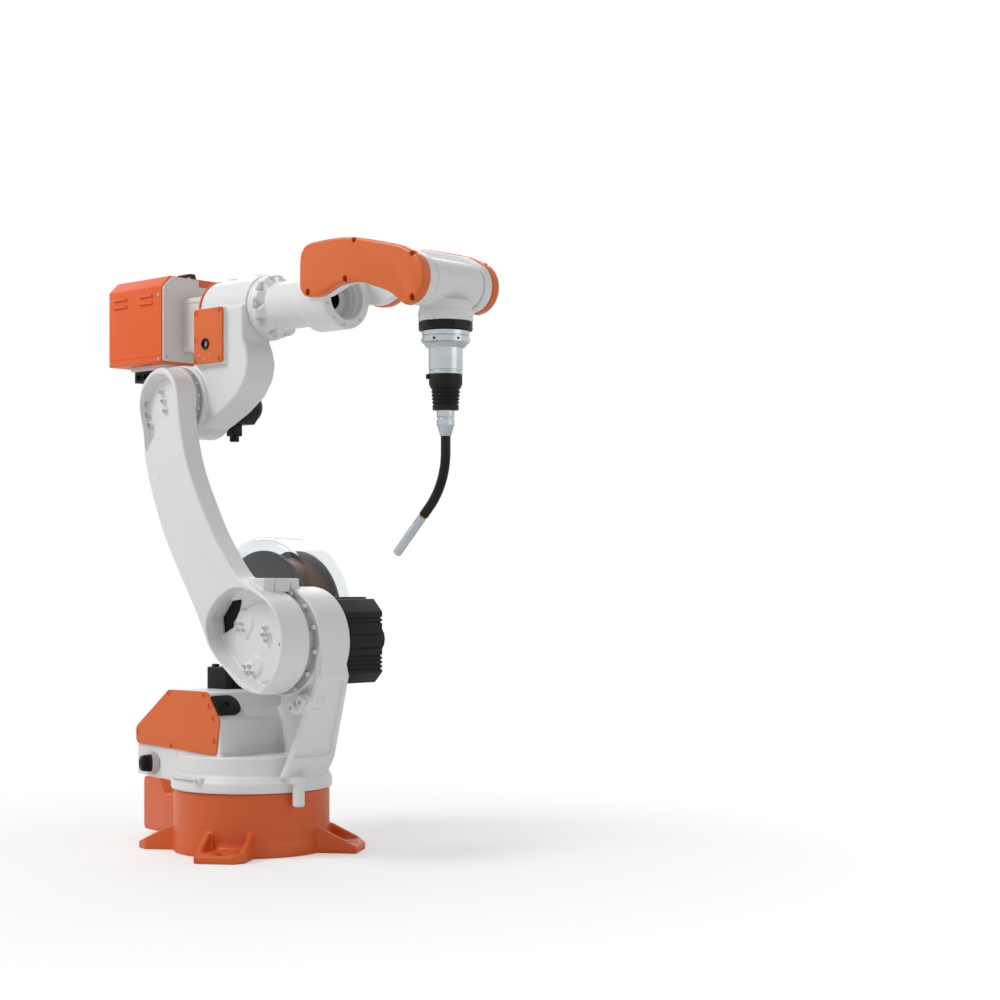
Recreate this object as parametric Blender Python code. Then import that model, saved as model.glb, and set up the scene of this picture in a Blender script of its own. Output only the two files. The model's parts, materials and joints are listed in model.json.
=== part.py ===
"""Six-axis arc-welding robot arm with its wire reel, wire feeder box and torch.

Metres, +Z up. The origin is on the floor on the axis of joint 1, +X is the way the arm
points and -Y is the side that carries the lower arm. Each body of the arm is modelled in
the frame of its own joint axis, and empties stand the frames in the pose of the arm.
"""
import math

import bmesh
import bpy
from mathutils import Matrix, Vector

# Fits
SEAT = 0.0003               # between two faces that touch
CUT_PAST = 0.004            # how far a cut runs past the face it opens
JOINT_GAP = 0.006           # between moving castings beside a joint
TINY = 0.000001             # points closer than this are one point

# The links between the joint axes
J2_OFFSET = 0.170
J2_HEIGHT = 0.447
LINK = 0.590
ELBOW_RISE = 0.194
FOREARM_REACH = 0.700

# The pose, in degrees
BASE_TURN = -12.0
LEAN = -30.3

# Base
BASE_RADIUS = 0.171
BASE_HEIGHT = 0.133
BASE_FLARE = 0.005
BASE_SKIRT = 0.026
BASE_RIM_CHAMFER = 0.003
FOOT_REACH = 0.246
FOOT_WIDTH = 0.104
FOOT_THICK = 0.020
FOOT_CHAMFER = 0.022
FOOT_OVERLAP = 0.040
FOOT_ANGLES = (-45.0, 45.0, 135.0, -135.0)
GUSSET_THICK = 0.012
GUSSET_HEIGHT = 0.066
BOLT_SLOT_WIDTH = 0.018
BOLT_SLOT_LENGTH = 0.030
BOLT_INSET = 0.026
REAR_BOX_REACH = 0.370
REAR_BOX_WIDTH = 0.150
REAR_BOX_LOW = 0.010
REAR_BOX_HIGH = 0.130
REAR_BOX_LEDGE = 0.032
REAR_BOX_LEDGE_LENGTH = 0.108
REAR_BOX_CORNER = 0.006

# Turret
RING_HEIGHT = 0.035
RING_ROUND = 0.010
DRUM_RADIUS = 0.158
DRUM_HEIGHT = 0.210
BODY_HALF = 0.137
BODY_REAR = 0.216
BODY_FRONT = 0.060
BODY_LOW = 0.165
BODY_SHOULDER = 0.258
BODY_DECK = 0.340
BODY_DECK_REAR = 0.106
BODY_DECK_FRONT = 0.020
BODY_NOSE = 0.284
BODY_CORNER = 0.008
COVER_THICK = 0.0035
COVER_LIP = 0.0015
COVER_BOTTOM_REAR = 0.222
COVER_BOTTOM_FRONT = 0.210
COVER_CORNER = 0.006
HOUSING_RADIUS = 0.113
HOUSING_NEAR = -0.063
HOUSING_FAR = 0.022
HOUSING_ROUND = 0.006
COLUMN_FOOT_FRONT = 0.195
COLUMN_FOOT_HEIGHT = 0.205
COLUMN_BACK = 0.020
COLUMN_FAR_LOW = 0.060
COLUMN_FAR_HIGH = 0.004
COLUMN_TOP = 0.377
FLANGE_RADIUS = 0.097
FLANGE_NEAR = -0.085
STOP_BOSS_RADIUS = 0.0125
STOP_BOSS_LOW = 0.103
STOP_BOSS_REACH = 0.187
STOP_BOSS_ANGLE = -10.0
BUMPER_RADIUS = 0.011
BUMPER_REACH = 0.150
BUMPER_ANGLE = -59.5
BUMPER_NEAR = -0.092

# Servo motors
J1_MOTOR_SIZE = 0.090
J1_MOTOR_HEIGHT = 0.055
J1_MOTOR_X = -0.070
J2_MOTOR_SIZE = 0.130
J2_MOTOR_LENGTH = 0.123
J3_MOTOR_SIZE = 0.080
J3_MOTOR_LENGTH = 0.118
MOTOR_CHAMFER_SHARE = 0.17
MOTOR_GROOVE = 0.0030
MOTOR_GROOVE_DEPTH = 0.0035
ENCODER_RADIUS_SHARE = 0.26
ENCODER_LENGTH = 0.032
PLUG_WIDTH = 0.026
PLUG_DROP = 0.038

# Wire reel
REEL_X = -0.160
REEL_Z = 0.490
REEL_NEAR = 0.162
REEL_WIDTH = 0.118
REEL_COVER_RADIUS = 0.180
REEL_COVER_WALL = 0.003
REEL_COVER_ROUND = 0.014
REEL_RADIUS = 0.150
REEL_WOUND_RADIUS = 0.132
REEL_FLANGE = 0.005
REEL_BORE = 0.0255
REEL_SIDE_GAP = 0.006
SHAFT_RADIUS = 0.025
BRACKET_THICK = 0.008
BRACKET_WIDTH = 0.090

# Lower arm
ARM_NEAR = -0.170
ARM_FAR = -0.105
ARM_ROUND = 0.012
SHOULDER_RADIUS = 0.103
SHOULDER_ROUND = 0.006
ELBOW_END_RADIUS = 0.062
ELBOW_RING_RADIUS = 0.074
ELBOW_RING_NEAR = ARM_FAR
ELBOW_RING_FAR = -0.090
ARM_REAR_BOW = 0.108
ARM_FRONT_BOW = 0.026
POCKET_DEPTH = 0.050
POCKET_RIM = 0.009
ELBOW_POCKET_DEPTH = 0.020
STOP_BLOCK_REAR = -0.005
STOP_BLOCK_FRONT = 0.073
STOP_BLOCK_TOP = 0.131
STOP_BLOCK_STEP = 0.108
STOP_BLOCK_TOE_RADIUS = 0.111
STOP_BLOCK_TOE_ANGLE = 57.9
STOP_BLOCK_GAP = 0.005

# Elbow casting
ELBOW_FAR = 0.000
ELBOW_BOSS_RADIUS = 0.078
ELBOW_WEB_NEAR = -0.078
J4_HOUSING_RADIUS = 0.068
J4_HOUSING_REAR = -0.090
J4_FACE = 0.060
J4_BORE = 0.022
ELBOW_COVER_LEFT = -0.086
ELBOW_COVER_RIGHT = 0.008
ELBOW_COVER_LOW = 1.033
ELBOW_COVER_HIGH = 1.150
ELBOW_PORT_RADIUS = 0.0115

ELBOW_COVER_FACE = -0.085
ELBOW_PORT_X = -0.047
ELBOW_PORT_Z = 1.075
ELBOW_EDGE = 0.004
ELBOW_FILLET = 0.040
ELBOW_BACK_SHARE = 0.45
ELBOW_CHIN_SHARE = 0.40
ELBOW_KNEE_SHARE = 0.80
ELBOW_TOE_SHARE = 0.50

# Wire feeder box
FEEDER_REAR = -0.382
FEEDER_FRONT = -0.195
FEEDER_HALF = 0.090
FEEDER_LOW = 1.048
FEEDER_HIGH = 1.238
FEEDER_CHAMFER = 0.024
FEEDER_SHEET = 0.0025
FEEDER_PANEL_THICK = 0.004
RAIL_HEIGHT = 0.010
RAIL_HALF = 0.062
BAR_HEIGHT = 0.024
BAR_HALF = 0.052

RAIL_SETBACK = 0.040
FEEDER_PANEL_SHARE = 0.97

# Forearm
TUBE_FLANGE_RADIUS = 0.067
TUBE_FLANGE_LENGTH = 0.040
TUBE_NECK_RADIUS = 0.050
BULB_RADIUS = 0.067
BULB_REAR = 0.200
BULB_FRONT = 0.295
CUP_RADIUS = 0.045
CUP_DEPTH = 0.050
CABLE_RADIUS = 0.021
PRONG_INNER = 0.066
PRONG_OUTER = 0.088
PRONG_COVER = 0.105
PRONG_ROUND = 0.005
PRONG_HEAD = 0.052

TUBE_SLOPE = 0.012
CABLE_DEPTH = 0.060
PRONG_REAR = 0.389
PRONG_TOP = 0.102
PRONG_TAIL_LOW = -0.008
PRONG_TAIL_ROUND = 0.020
PRONG_KNEE = 0.510
PRONG_WAIST = 0.010
PRONG_HEEL = 0.435
PRONG_BEND = 0.080
PRONG_SLOPE = 13.7
PRONG_SLOPE_SINE = math.sin(math.radians(PRONG_SLOPE))
PRONG_SLOPE_COSINE = math.cos(math.radians(PRONG_SLOPE))

# Wrist
WRIST_BLOCK_HALF = 0.036
HUB_RADIUS = 0.044
WRIST_HALF = 0.050
WRIST_RADIUS = 0.047
WRIST_HOUSING_RADIUS = 0.054
WRIST_HOUSING_TOP = -0.036
WRIST_HOUSING_LOW = -0.076

# Torch, as heights below joint 5 and radii
TORCH_FLANGE_RADIUS = 0.0525
TORCH_FLANGE_LOW = -0.093
COLLAR_RADIUS = 0.0465
COLLAR_LOW = -0.118
COLLAR_CHAMFER_LOW = -0.125
BARREL_RADIUS = 0.0335
BARREL_LOW = -0.178
BOOT_RADIUS = 0.0325
BOOT_TIP_RADIUS = 0.0245
BOOT_LOW = -0.2465
SOCKET_RADIUS = 0.0175
SOCKET_LOW = -0.277
CONE_RADIUS = 0.011
CONE_LOW = -0.297
NECK_RADIUS = 0.0095
NECK_STRAIGHT = 0.030
NECK_BEND_RADIUS = 0.150
NECK_ANGLE = 45.0
NECK_TAIL = 0.022
NOZZLE_RADIUS = 0.0090
NOZZLE_LENGTH = 0.100
NOZZLE_BORE = 0.0065
TIP_RADIUS = 0.0040

NECK_RING = 0.004
NOZZLE_BORE_DEPTH = 0.020
TIP_RECESS = 0.003
BOOT_RIB_SHARES = ((1.0, 0.0), (1.0, 0.40), (0.75, 0.47), (0.75, 0.56), (0.45, 0.60),
                   (0.70, 0.66), (0.40, 0.71), (0.60, 0.77), (0.30, 0.82), (0.30, 0.97),
                   (0.10, 1.0))

# How finely round shapes are faceted
STEPS_LARGE = 48
STEPS_MEDIUM = 32
STEPS_SMALL = 20
CORNER_STEPS = 4
BEND_STEPS = 10
SMOOTH_ANGLE = math.radians(35.0)


def clear_scene():
    """Remove every object of the open scene."""
    for thing in list(bpy.data.objects):
        bpy.data.objects.remove(thing)


def finish(name, colour, roughness, metallic=0.0):
    """A plain principled material."""
    material = bpy.data.materials.new(name)
    material.use_nodes = True
    shader = material.node_tree.nodes["Principled BSDF"]
    shader.inputs["Base Color"].default_value = (*colour, 1.0)
    shader.inputs["Roughness"].default_value = roughness
    shader.inputs["Metallic"].default_value = metallic
    return material


def axis_frame(name, parent=None, place=(0.0, 0.0, 0.0), turn_y=0.0, turn_z=0.0):
    """An empty that stands on a joint's axis and carries the pieces of its body."""
    frame = bpy.data.objects.new(name, None)
    bpy.context.scene.collection.objects.link(frame)
    frame.parent = parent
    frame.location = place
    frame.rotation_euler = (0.0, math.radians(turn_y), math.radians(turn_z))
    return frame


def piece(name, shape, material, body):
    """One sub-part: a closed shape with its material, carried by a body's frame."""
    mesh = bpy.data.meshes.new(name)
    shape.to_mesh(mesh)
    shape.free()
    mesh.materials.append(material)
    mesh.shade_smooth()
    mesh.set_sharp_from_angle(angle=SMOOTH_ANGLE)
    thing = bpy.data.objects.new(name, mesh)
    bpy.context.scene.collection.objects.link(thing)
    thing.parent = body
    return thing


def shaped(thing, action, shape):
    """Join a shape to a piece (UNION) or cut it away (DIFFERENCE); the tool stays hidden."""
    mesh = bpy.data.meshes.new("tool")
    shape.to_mesh(mesh)
    shape.free()
    tool = bpy.data.objects.new(thing.name + ".tool", mesh)
    bpy.context.scene.collection.objects.link(tool)
    tool.parent = thing.parent
    tool.hide_render = True
    tool.display_type = "WIRE"
    modifier = thing.modifiers.new(action.title(), "BOOLEAN")
    modifier.operation = action
    modifier.solver = "EXACT"
    modifier.object = tool
    return thing


def on_axis(axis, u, v, along):
    """The point (u, v) of an outline, at a distance along the axis it is pushed along."""
    places = {"X": (along, u, v), "Y": (u, along, v), "Z": (u, v, along)}
    return Vector(places[axis])


def rounded(corners):
    """An outline through corners (u, v, radius), each rounded by its own arc."""
    outline = []
    count = len(corners)
    for index, (u, v, radius) in enumerate(corners):
        point = Vector((u, v))
        if radius <= 0.0:
            outline.append(point)
            continue
        before = (Vector(corners[index - 1][:2]) - point).normalized()
        after = (Vector(corners[(index + 1) % count][:2]) - point).normalized()
        half = before.angle(after) / 2.0
        centre = point + (before + after).normalized() * (radius / math.sin(half))
        start = point + before * (radius / math.tan(half)) - centre
        sweep = start.angle_signed(point + after * (radius / math.tan(half)) - centre)
        for step in range(CORNER_STEPS + 1):
            turn = Matrix.Rotation(-sweep * step / CORNER_STEPS, 2)
            outline.append(centre + turn @ start)
    return outline


def arc(centre, radius, first, last, steps):
    """Points on an arc, from one angle to another in degrees."""
    points = []
    for step in range(steps + 1):
        angle = math.radians(first + (last - first) * step / steps)
        points.append(Vector((centre[0] + radius * math.cos(angle),
                              centre[1] + radius * math.sin(angle))))
    return points


def prism(outline, low, high, axis, round_low=0.0, round_high=0.0):
    """A closed outline pushed straight along an axis, its end edges rounded over."""
    shape = bmesh.new()
    ring = [shape.verts.new(on_axis(axis, point[0], point[1], low)) for point in outline]
    face = shape.faces.new(ring)
    grown = bmesh.ops.extrude_face_region(shape, geom=[face])
    far = [item for item in grown["geom"] if isinstance(item, bmesh.types.BMVert)]
    bmesh.ops.translate(shape, verts=far, vec=on_axis(axis, 0.0, 0.0, high - low))
    bmesh.ops.recalc_face_normals(shape, faces=shape.faces)
    along = on_axis(axis, 0.0, 0.0, 1.0)
    for level, radius in ((low, round_low), (high, round_high)):
        if radius > 0.0:
            edges = [edge for edge in shape.edges
                     if all(abs(vert.co.dot(along) - level) < TINY for vert in edge.verts)]
            bmesh.ops.bevel(shape, geom=edges, offset=radius, offset_type="OFFSET",
                            segments=3, profile=0.5, affect="EDGES", clamp_overlap=False,
                            material=-1)
    return shape


def turned(profile, axis, centre=(0.0, 0.0, 0.0), steps=STEPS_LARGE, ring=False):
    """A profile of points (radius, distance along the axis) turned once about the axis."""
    shape = bmesh.new()
    verts = [shape.verts.new((radius, 0.0, along)) for radius, along in profile]
    pairs = list(zip(verts, verts[1:]))
    if ring:
        pairs.append((verts[-1], verts[0]))
    edges = [shape.edges.new(pair) for pair in pairs]
    bmesh.ops.spin(shape, geom=verts + edges, cent=(0.0, 0.0, 0.0), axis=(0.0, 0.0, 1.0),
                   angle=math.tau, steps=steps, use_merge=True, use_duplicate=False)
    bmesh.ops.remove_doubles(shape, verts=shape.verts, dist=TINY)
    turns = {"X": Matrix.Rotation(math.radians(90.0), 3, "Y"),
             "Y": Matrix.Rotation(math.radians(-90.0), 3, "X"),
             "Z": Matrix.Identity(3)}
    bmesh.ops.rotate(shape, verts=shape.verts, cent=(0.0, 0.0, 0.0), matrix=turns[axis])
    bmesh.ops.translate(shape, verts=shape.verts, vec=centre)
    bmesh.ops.recalc_face_normals(shape, faces=shape.faces)
    return shape


def disc(radius, low, high, axis, centre=(0.0, 0.0, 0.0), steps=STEPS_LARGE, edge=0.0):
    """A round plate or cylinder between two distances along an axis, edges chamfered."""
    profile = [(0.0, low), (radius - edge, low), (radius, low + edge),
               (radius, high - edge), (radius - edge, high), (0.0, high)]
    if edge <= 0.0:
        profile = [(0.0, low), (radius, low), (radius, high), (0.0, high)]
    return turned(profile, axis, centre, steps)


def hollow_ring(inner, outer, low, high, axis, centre=(0.0, 0.0, 0.0), steps=STEPS_LARGE):
    """A flat ring between two radii."""
    profile = [(inner, low), (outer, low), (outer, high), (inner, high)]
    return turned(profile, axis, centre, steps, ring=True)


def block(low, high):
    """A square block between two corners."""
    outline = [(low[0], low[1]), (high[0], low[1]), (high[0], high[1]), (low[0], high[1])]
    return prism(outline, low[2], high[2], "Z")


def moved(shape, turn=None, vec=(0.0, 0.0, 0.0)):
    """The shape turned about the origin and then moved."""
    if turn is not None:
        bmesh.ops.rotate(shape, verts=shape.verts, cent=(0.0, 0.0, 0.0), matrix=turn)
    bmesh.ops.translate(shape, verts=shape.verts, vec=vec)
    return shape


def gathered(shapes):
    """Shapes that stand apart, put into one."""
    whole = bmesh.new()
    for shape in shapes:
        mesh = bpy.data.meshes.new("gathered")
        shape.to_mesh(mesh)
        shape.free()
        whole.from_mesh(mesh)
        bpy.data.meshes.remove(mesh)
    return whole


def foot(angle):
    """One foot of the base: a plate with a gusset along each edge."""
    half = FOOT_WIDTH / 2.0
    start = BASE_RADIUS - FOOT_OVERLAP
    wall = half - GUSSET_THICK
    section = [(-half, 0.0), (half, 0.0), (half, GUSSET_HEIGHT), (wall, GUSSET_HEIGHT),
               (wall, FOOT_THICK), (-wall, FOOT_THICK), (-wall, GUSSET_HEIGHT),
               (-half, GUSSET_HEIGHT)]
    shape = prism(section, start, FOOT_REACH, "X")
    toe = FOOT_REACH - GUSSET_THICK
    slope = Vector((GUSSET_HEIGHT - FOOT_THICK, 0.0, toe - BASE_RADIUS))
    trim(shape, (toe, 0.0, FOOT_THICK), slope)
    trim(shape, (FOOT_REACH - FOOT_CHAMFER, half, 0.0), Vector((1.0, 1.0, 0.0)))
    return moved(shape, Matrix.Rotation(math.radians(angle), 3, "Z"))


def trim(shape, point, outward):
    """Cut a shape off flat at a plane, keep the side behind it and close the cut."""
    geometry = shape.verts[:] + shape.edges[:] + shape.faces[:]
    cut = bmesh.ops.bisect_plane(shape, geom=geometry, dist=TINY, plane_co=point,
                                 plane_no=outward.normalized(), clear_outer=True)
    edges = [item for item in cut["geom_cut"] if isinstance(item, bmesh.types.BMEdge)]
    bmesh.ops.holes_fill(shape, edges=edges)
    bmesh.ops.recalc_face_normals(shape, faces=shape.faces)


def bolt_slot(angle):
    """The slotted bolt hole of one foot."""
    half_run = (BOLT_SLOT_LENGTH - BOLT_SLOT_WIDTH) / 2.0
    radius = BOLT_SLOT_WIDTH / 2.0
    centre = FOOT_REACH - BOLT_INSET
    outline = arc((centre + half_run, 0.0), radius, -90.0, 90.0, CORNER_STEPS)
    outline += arc((centre - half_run, 0.0), radius, 90.0, 270.0, CORNER_STEPS)
    shape = prism(outline, -CUT_PAST, FOOT_THICK + CUT_PAST, "Z")
    return moved(shape, Matrix.Rotation(math.radians(angle), 3, "Z"))


def build_base(frame, orange):
    """The base casting with its four feet, and the connector box behind it."""
    outer = BASE_RADIUS + BASE_FLARE
    drum = turned([(0.0, 0.0), (outer, 0.0), (outer, BASE_SKIRT),
                   (BASE_RADIUS, BASE_SKIRT + BASE_FLARE),
                   (BASE_RADIUS, BASE_HEIGHT - BASE_RIM_CHAMFER),
                   (BASE_RADIUS - BASE_RIM_CHAMFER, BASE_HEIGHT), (0.0, BASE_HEIGHT)], "Z")
    casting = piece("base_casting", drum, orange, frame)
    shaped(casting, "UNION", gathered([foot(angle) for angle in FOOT_ANGLES]))
    shaped(casting, "DIFFERENCE", gathered([bolt_slot(angle) for angle in FOOT_ANGLES]))
    ledge_end = REAR_BOX_REACH - REAR_BOX_LEDGE_LENGTH + REAR_BOX_LEDGE
    ledge = REAR_BOX_HIGH - REAR_BOX_LEDGE
    outline = rounded([(-REAR_BOX_REACH, REAR_BOX_LOW, REAR_BOX_CORNER),
                       (-REAR_BOX_REACH, REAR_BOX_HIGH, REAR_BOX_CORNER),
                       (-ledge_end, REAR_BOX_HIGH, 0.0),
                       (-ledge_end + REAR_BOX_LEDGE, ledge, 0.0),
                       (-BASE_RADIUS + FOOT_OVERLAP, ledge, 0.0),
                       (-BASE_RADIUS + FOOT_OVERLAP, REAR_BOX_LOW, 0.0)])
    half = REAR_BOX_WIDTH / 2.0
    box = piece("rear_connector_box", prism(outline, -half, half, "Y"), orange, frame)
    shaped(box, "DIFFERENCE", turned([(0.0, -CUT_PAST), (outer + SEAT, -CUT_PAST),
                                      (outer + SEAT, BASE_SKIRT),
                                      (BASE_RADIUS + SEAT, BASE_SKIRT + BASE_FLARE),
                                      (BASE_RADIUS + SEAT, BASE_HEIGHT + CUT_PAST),
                                      (0.0, BASE_HEIGHT + CUT_PAST)], "Z"))


def body_outline():
    """The side view of the turret's rear body, (x, z, corner radius)."""
    return [(-BODY_REAR, BODY_LOW, 0.0), (-BODY_REAR, BODY_SHOULDER, BODY_CORNER),
            (-BODY_DECK_REAR, BODY_DECK, BODY_CORNER),
            (BODY_DECK_FRONT, BODY_DECK, BODY_CORNER), (BODY_FRONT, BODY_NOSE, BODY_CORNER),
            (BODY_FRONT, BODY_LOW, 0.0)]


def cover_outline():
    """The side cover stands a lip proud of the body's outline."""
    return [(-BODY_REAR - COVER_LIP, COVER_BOTTOM_REAR, COVER_CORNER),
            (-BODY_REAR - COVER_LIP, BODY_SHOULDER, COVER_CORNER),
            (-BODY_DECK_REAR, BODY_DECK + COVER_LIP, COVER_CORNER),
            (BODY_DECK_FRONT, BODY_DECK + COVER_LIP, COVER_CORNER),
            (BODY_FRONT + COVER_LIP, BODY_NOSE, COVER_CORNER),
            (BODY_FRONT - COVER_CORNER, COVER_BOTTOM_FRONT, COVER_CORNER)]


def column_shape():
    """The column that rises from the drum to the housing of joint 2."""
    tangent = J2_OFFSET + HOUSING_RADIUS
    outline = [(COLUMN_BACK, BODY_LOW), (COLUMN_BACK, BODY_DECK),
               (J2_OFFSET - HOUSING_RADIUS, J2_HEIGHT - HOUSING_RADIUS / 2.0),
               (J2_OFFSET, J2_HEIGHT), (tangent, J2_HEIGHT - HOUSING_RADIUS / 4.0),
               (tangent, COLUMN_TOP),
               (COLUMN_FOOT_FRONT, COLUMN_FOOT_HEIGHT), (BASE_RADIUS, BODY_LOW)]
    shape = prism(outline, HOUSING_NEAR + HOUSING_ROUND, COLUMN_FAR_LOW, "Y")
    outward = Vector((0.0, COLUMN_TOP - COLUMN_FOOT_HEIGHT, COLUMN_FAR_LOW - COLUMN_FAR_HIGH))
    trim(shape, (0.0, COLUMN_FAR_HIGH, COLUMN_TOP), outward)
    return shape


def build_turret(frame, white, orange, black, rubber):
    """The casting that turns on the base, its covers, gland and stops."""
    low = BASE_HEIGHT + SEAT
    ring_top = low + RING_HEIGHT
    ring = turned([(0.0, low), (BASE_RADIUS, low), (BASE_RADIUS, ring_top - RING_ROUND),
                   (BASE_RADIUS - RING_ROUND / 2.0, ring_top), (DRUM_RADIUS, ring_top),
                   (DRUM_RADIUS, DRUM_HEIGHT), (0.0, DRUM_HEIGHT)], "Z")
    casting = piece("turret_casting", ring, white, frame)
    shaped(casting, "UNION", prism(rounded(body_outline()), -BODY_HALF, BODY_HALF, "Y"))
    shaped(casting, "UNION", column_shape())
    shaped(casting, "UNION", disc(HOUSING_RADIUS, HOUSING_NEAR, HOUSING_FAR, "Y",
                                  (J2_OFFSET, 0.0, J2_HEIGHT), edge=HOUSING_ROUND))
    angle = math.radians(STOP_BOSS_ANGLE)
    boss_place = (STOP_BOSS_REACH * math.cos(angle), STOP_BOSS_REACH * math.sin(angle), 0.0)
    shaped(casting, "UNION", disc(STOP_BOSS_RADIUS, STOP_BOSS_LOW, ring_top, "Z",
                                  boss_place, STEPS_SMALL))
    for name, near, far in (("turret_cover_near", -BODY_HALF - SEAT - COVER_THICK,
                             -BODY_HALF - SEAT),
                            ("turret_cover_far", BODY_HALF + SEAT,
                             BODY_HALF + SEAT + COVER_THICK)):
        piece(name, prism(rounded(cover_outline()), near, far, "Y"), orange, frame)
    piece("j2_flange_ring", disc(FLANGE_RADIUS, FLANGE_NEAR + SEAT, HOUSING_NEAR - SEAT, "Y",
                                 (J2_OFFSET, 0.0, J2_HEIGHT)), white, frame)
    angle = math.radians(BUMPER_ANGLE)
    place = (J2_OFFSET + BUMPER_REACH * math.cos(angle), 0.0,
             J2_HEIGHT + BUMPER_REACH * math.sin(angle))
    piece("j2_stop_bumper", disc(BUMPER_RADIUS, BUMPER_NEAR, HOUSING_NEAR + HOUSING_ROUND - SEAT,
                                 "Y", place, STEPS_SMALL), rubber, frame)


def motor_outline(size):
    """The square section of a servo motor, with its corners cut and grooves in its sides."""
    half = size / 2.0
    cut = size * MOTOR_CHAMFER_SHARE
    side = [(half, -half + cut)]
    run = size - 2.0 * cut
    for place_share in (0.2, 0.3, 0.7, 0.8):
        level = -half + cut + run * place_share
        side += [(half, level), (half - MOTOR_GROOVE_DEPTH, level),
                 (half - MOTOR_GROOVE_DEPTH, level + MOTOR_GROOVE), (half, level + MOTOR_GROOVE)]
    side.append((half, half - cut))
    outline = []
    for quarter in range(4):
        turn = Matrix.Rotation(math.radians(90.0 * quarter), 2)
        outline += [turn @ Vector(point) for point in side]
    return outline


def motor(size, low, high, axis, centre):
    """A finned servo motor body between two distances along its axis."""
    shape = prism(motor_outline(size), low, high, axis)
    return moved(shape, vec=centre)


def build_motors(turret, elbow, black):
    """The black servo motors of joints 1, 2 and 3."""
    deck = BODY_DECK + SEAT
    piece("j1_motor", motor(J1_MOTOR_SIZE, deck, deck + J1_MOTOR_HEIGHT, "Z",
                            (J1_MOTOR_X, 0.0, 0.0)), black, turret)
    near = HOUSING_FAR + SEAT
    far = near + J2_MOTOR_LENGTH
    axis = (J2_OFFSET, 0.0, J2_HEIGHT)
    piece("j2_motor", motor(J2_MOTOR_SIZE, near, far, "Y", axis), black, turret)
    piece("j2_encoder", disc(J2_MOTOR_SIZE * ENCODER_RADIUS_SHARE, far + SEAT,
                             far + ENCODER_LENGTH, "Y", axis, STEPS_MEDIUM,
                             edge=REEL_FLANGE), black, turret)
    near = ELBOW_FAR + SEAT
    far = near + J3_MOTOR_LENGTH
    shape = piece("j3_motor", motor(J3_MOTOR_SIZE, near, far, "Y", (0.0, 0.0, 0.0)), black, elbow)
    drop = J3_MOTOR_SIZE / 2.0 + PLUG_DROP
    half = PLUG_WIDTH / 2.0
    middle = (near + far) / 2.0
    shaped(shape, "UNION", block((-half, middle - half, -drop), (half, middle + half, 0.0)))


def build_reel(frame, clear, dark, white):
    """The wire reel beside the turret: bracket with its shaft, reel and clear cover."""
    centre = (REEL_X, 0.0, REEL_Z)
    cover_far = REEL_NEAR + REEL_WIDTH
    wall = REEL_COVER_WALL
    outer = REEL_COVER_RADIUS
    inner = outer - wall
    round_cut = REEL_COVER_ROUND
    profile = [(SHAFT_RADIUS + wall, REEL_NEAR), (outer - round_cut, REEL_NEAR),
               (outer, REEL_NEAR + round_cut), (outer, cover_far - round_cut),
               (outer - round_cut, cover_far), (SHAFT_RADIUS + wall, cover_far),
               (SHAFT_RADIUS + wall, cover_far - wall), (inner - round_cut, cover_far - wall),
               (inner, cover_far - round_cut), (inner, REEL_NEAR + round_cut),
               (inner - round_cut, REEL_NEAR + wall), (SHAFT_RADIUS + wall, REEL_NEAR + wall)]
    piece("reel_cover", turned(profile, "Y", centre, ring=True), clear, frame)
    near = REEL_NEAR + wall + REEL_SIDE_GAP
    far = cover_far - wall - REEL_SIDE_GAP
    profile = [(REEL_BORE, near), (REEL_RADIUS, near), (REEL_RADIUS, near + REEL_FLANGE),
               (REEL_WOUND_RADIUS, near + REEL_FLANGE), (REEL_WOUND_RADIUS, far - REEL_FLANGE),
               (REEL_RADIUS, far - REEL_FLANGE), (REEL_RADIUS, far), (REEL_BORE, far)]
    piece("wire_reel", turned(profile, "Y", centre, ring=True), dark, frame)
    half = BRACKET_WIDTH / 2.0
    outline = rounded([(REEL_X - half, BODY_SHOULDER, COVER_CORNER),
                       (REEL_X - half, REEL_Z + half, half * MOTOR_CHAMFER_SHARE),
                       (REEL_X + half, REEL_Z + half, half * MOTOR_CHAMFER_SHARE),
                       (REEL_X + half, BODY_SHOULDER, COVER_CORNER)])
    side = REEL_NEAR - SEAT
    bracket = piece("reel_bracket", prism(outline, side - BRACKET_THICK, side, "Y"), white, frame)
    shaped(bracket, "UNION", disc(SHAFT_RADIUS, side - BRACKET_THICK / 2.0,
                                  cover_far + BRACKET_THICK, "Y", centre, STEPS_MEDIUM))
    cover_face = BODY_HALF + SEAT + COVER_THICK + SEAT
    shaped(bracket, "UNION", block((REEL_X - half, cover_face, BODY_SHOULDER),
                                   (REEL_X + half, side, BODY_SHOULDER + BRACKET_THICK)))


def arm_outline():
    """The side view of the lower arm in its own frame, bowed to the rear."""
    rear = -ARM_REAR_BOW
    front = ARM_FRONT_BOW
    return [(-SHOULDER_RADIUS * 0.8, 0.0, 0.0), (rear, LINK * 0.16, 0.25),
            (rear, LINK * 0.5, 0.5), (-ELBOW_END_RADIUS * 1.35, LINK * 0.85, 0.2),
            (-ELBOW_END_RADIUS, LINK, 0.0), (ELBOW_END_RADIUS, LINK, 0.0),
            (front, LINK * 0.72, 0.2), (front, LINK * 0.36, 0.3),
            (SHOULDER_RADIUS * 0.8, 0.0, 0.0)]


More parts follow.
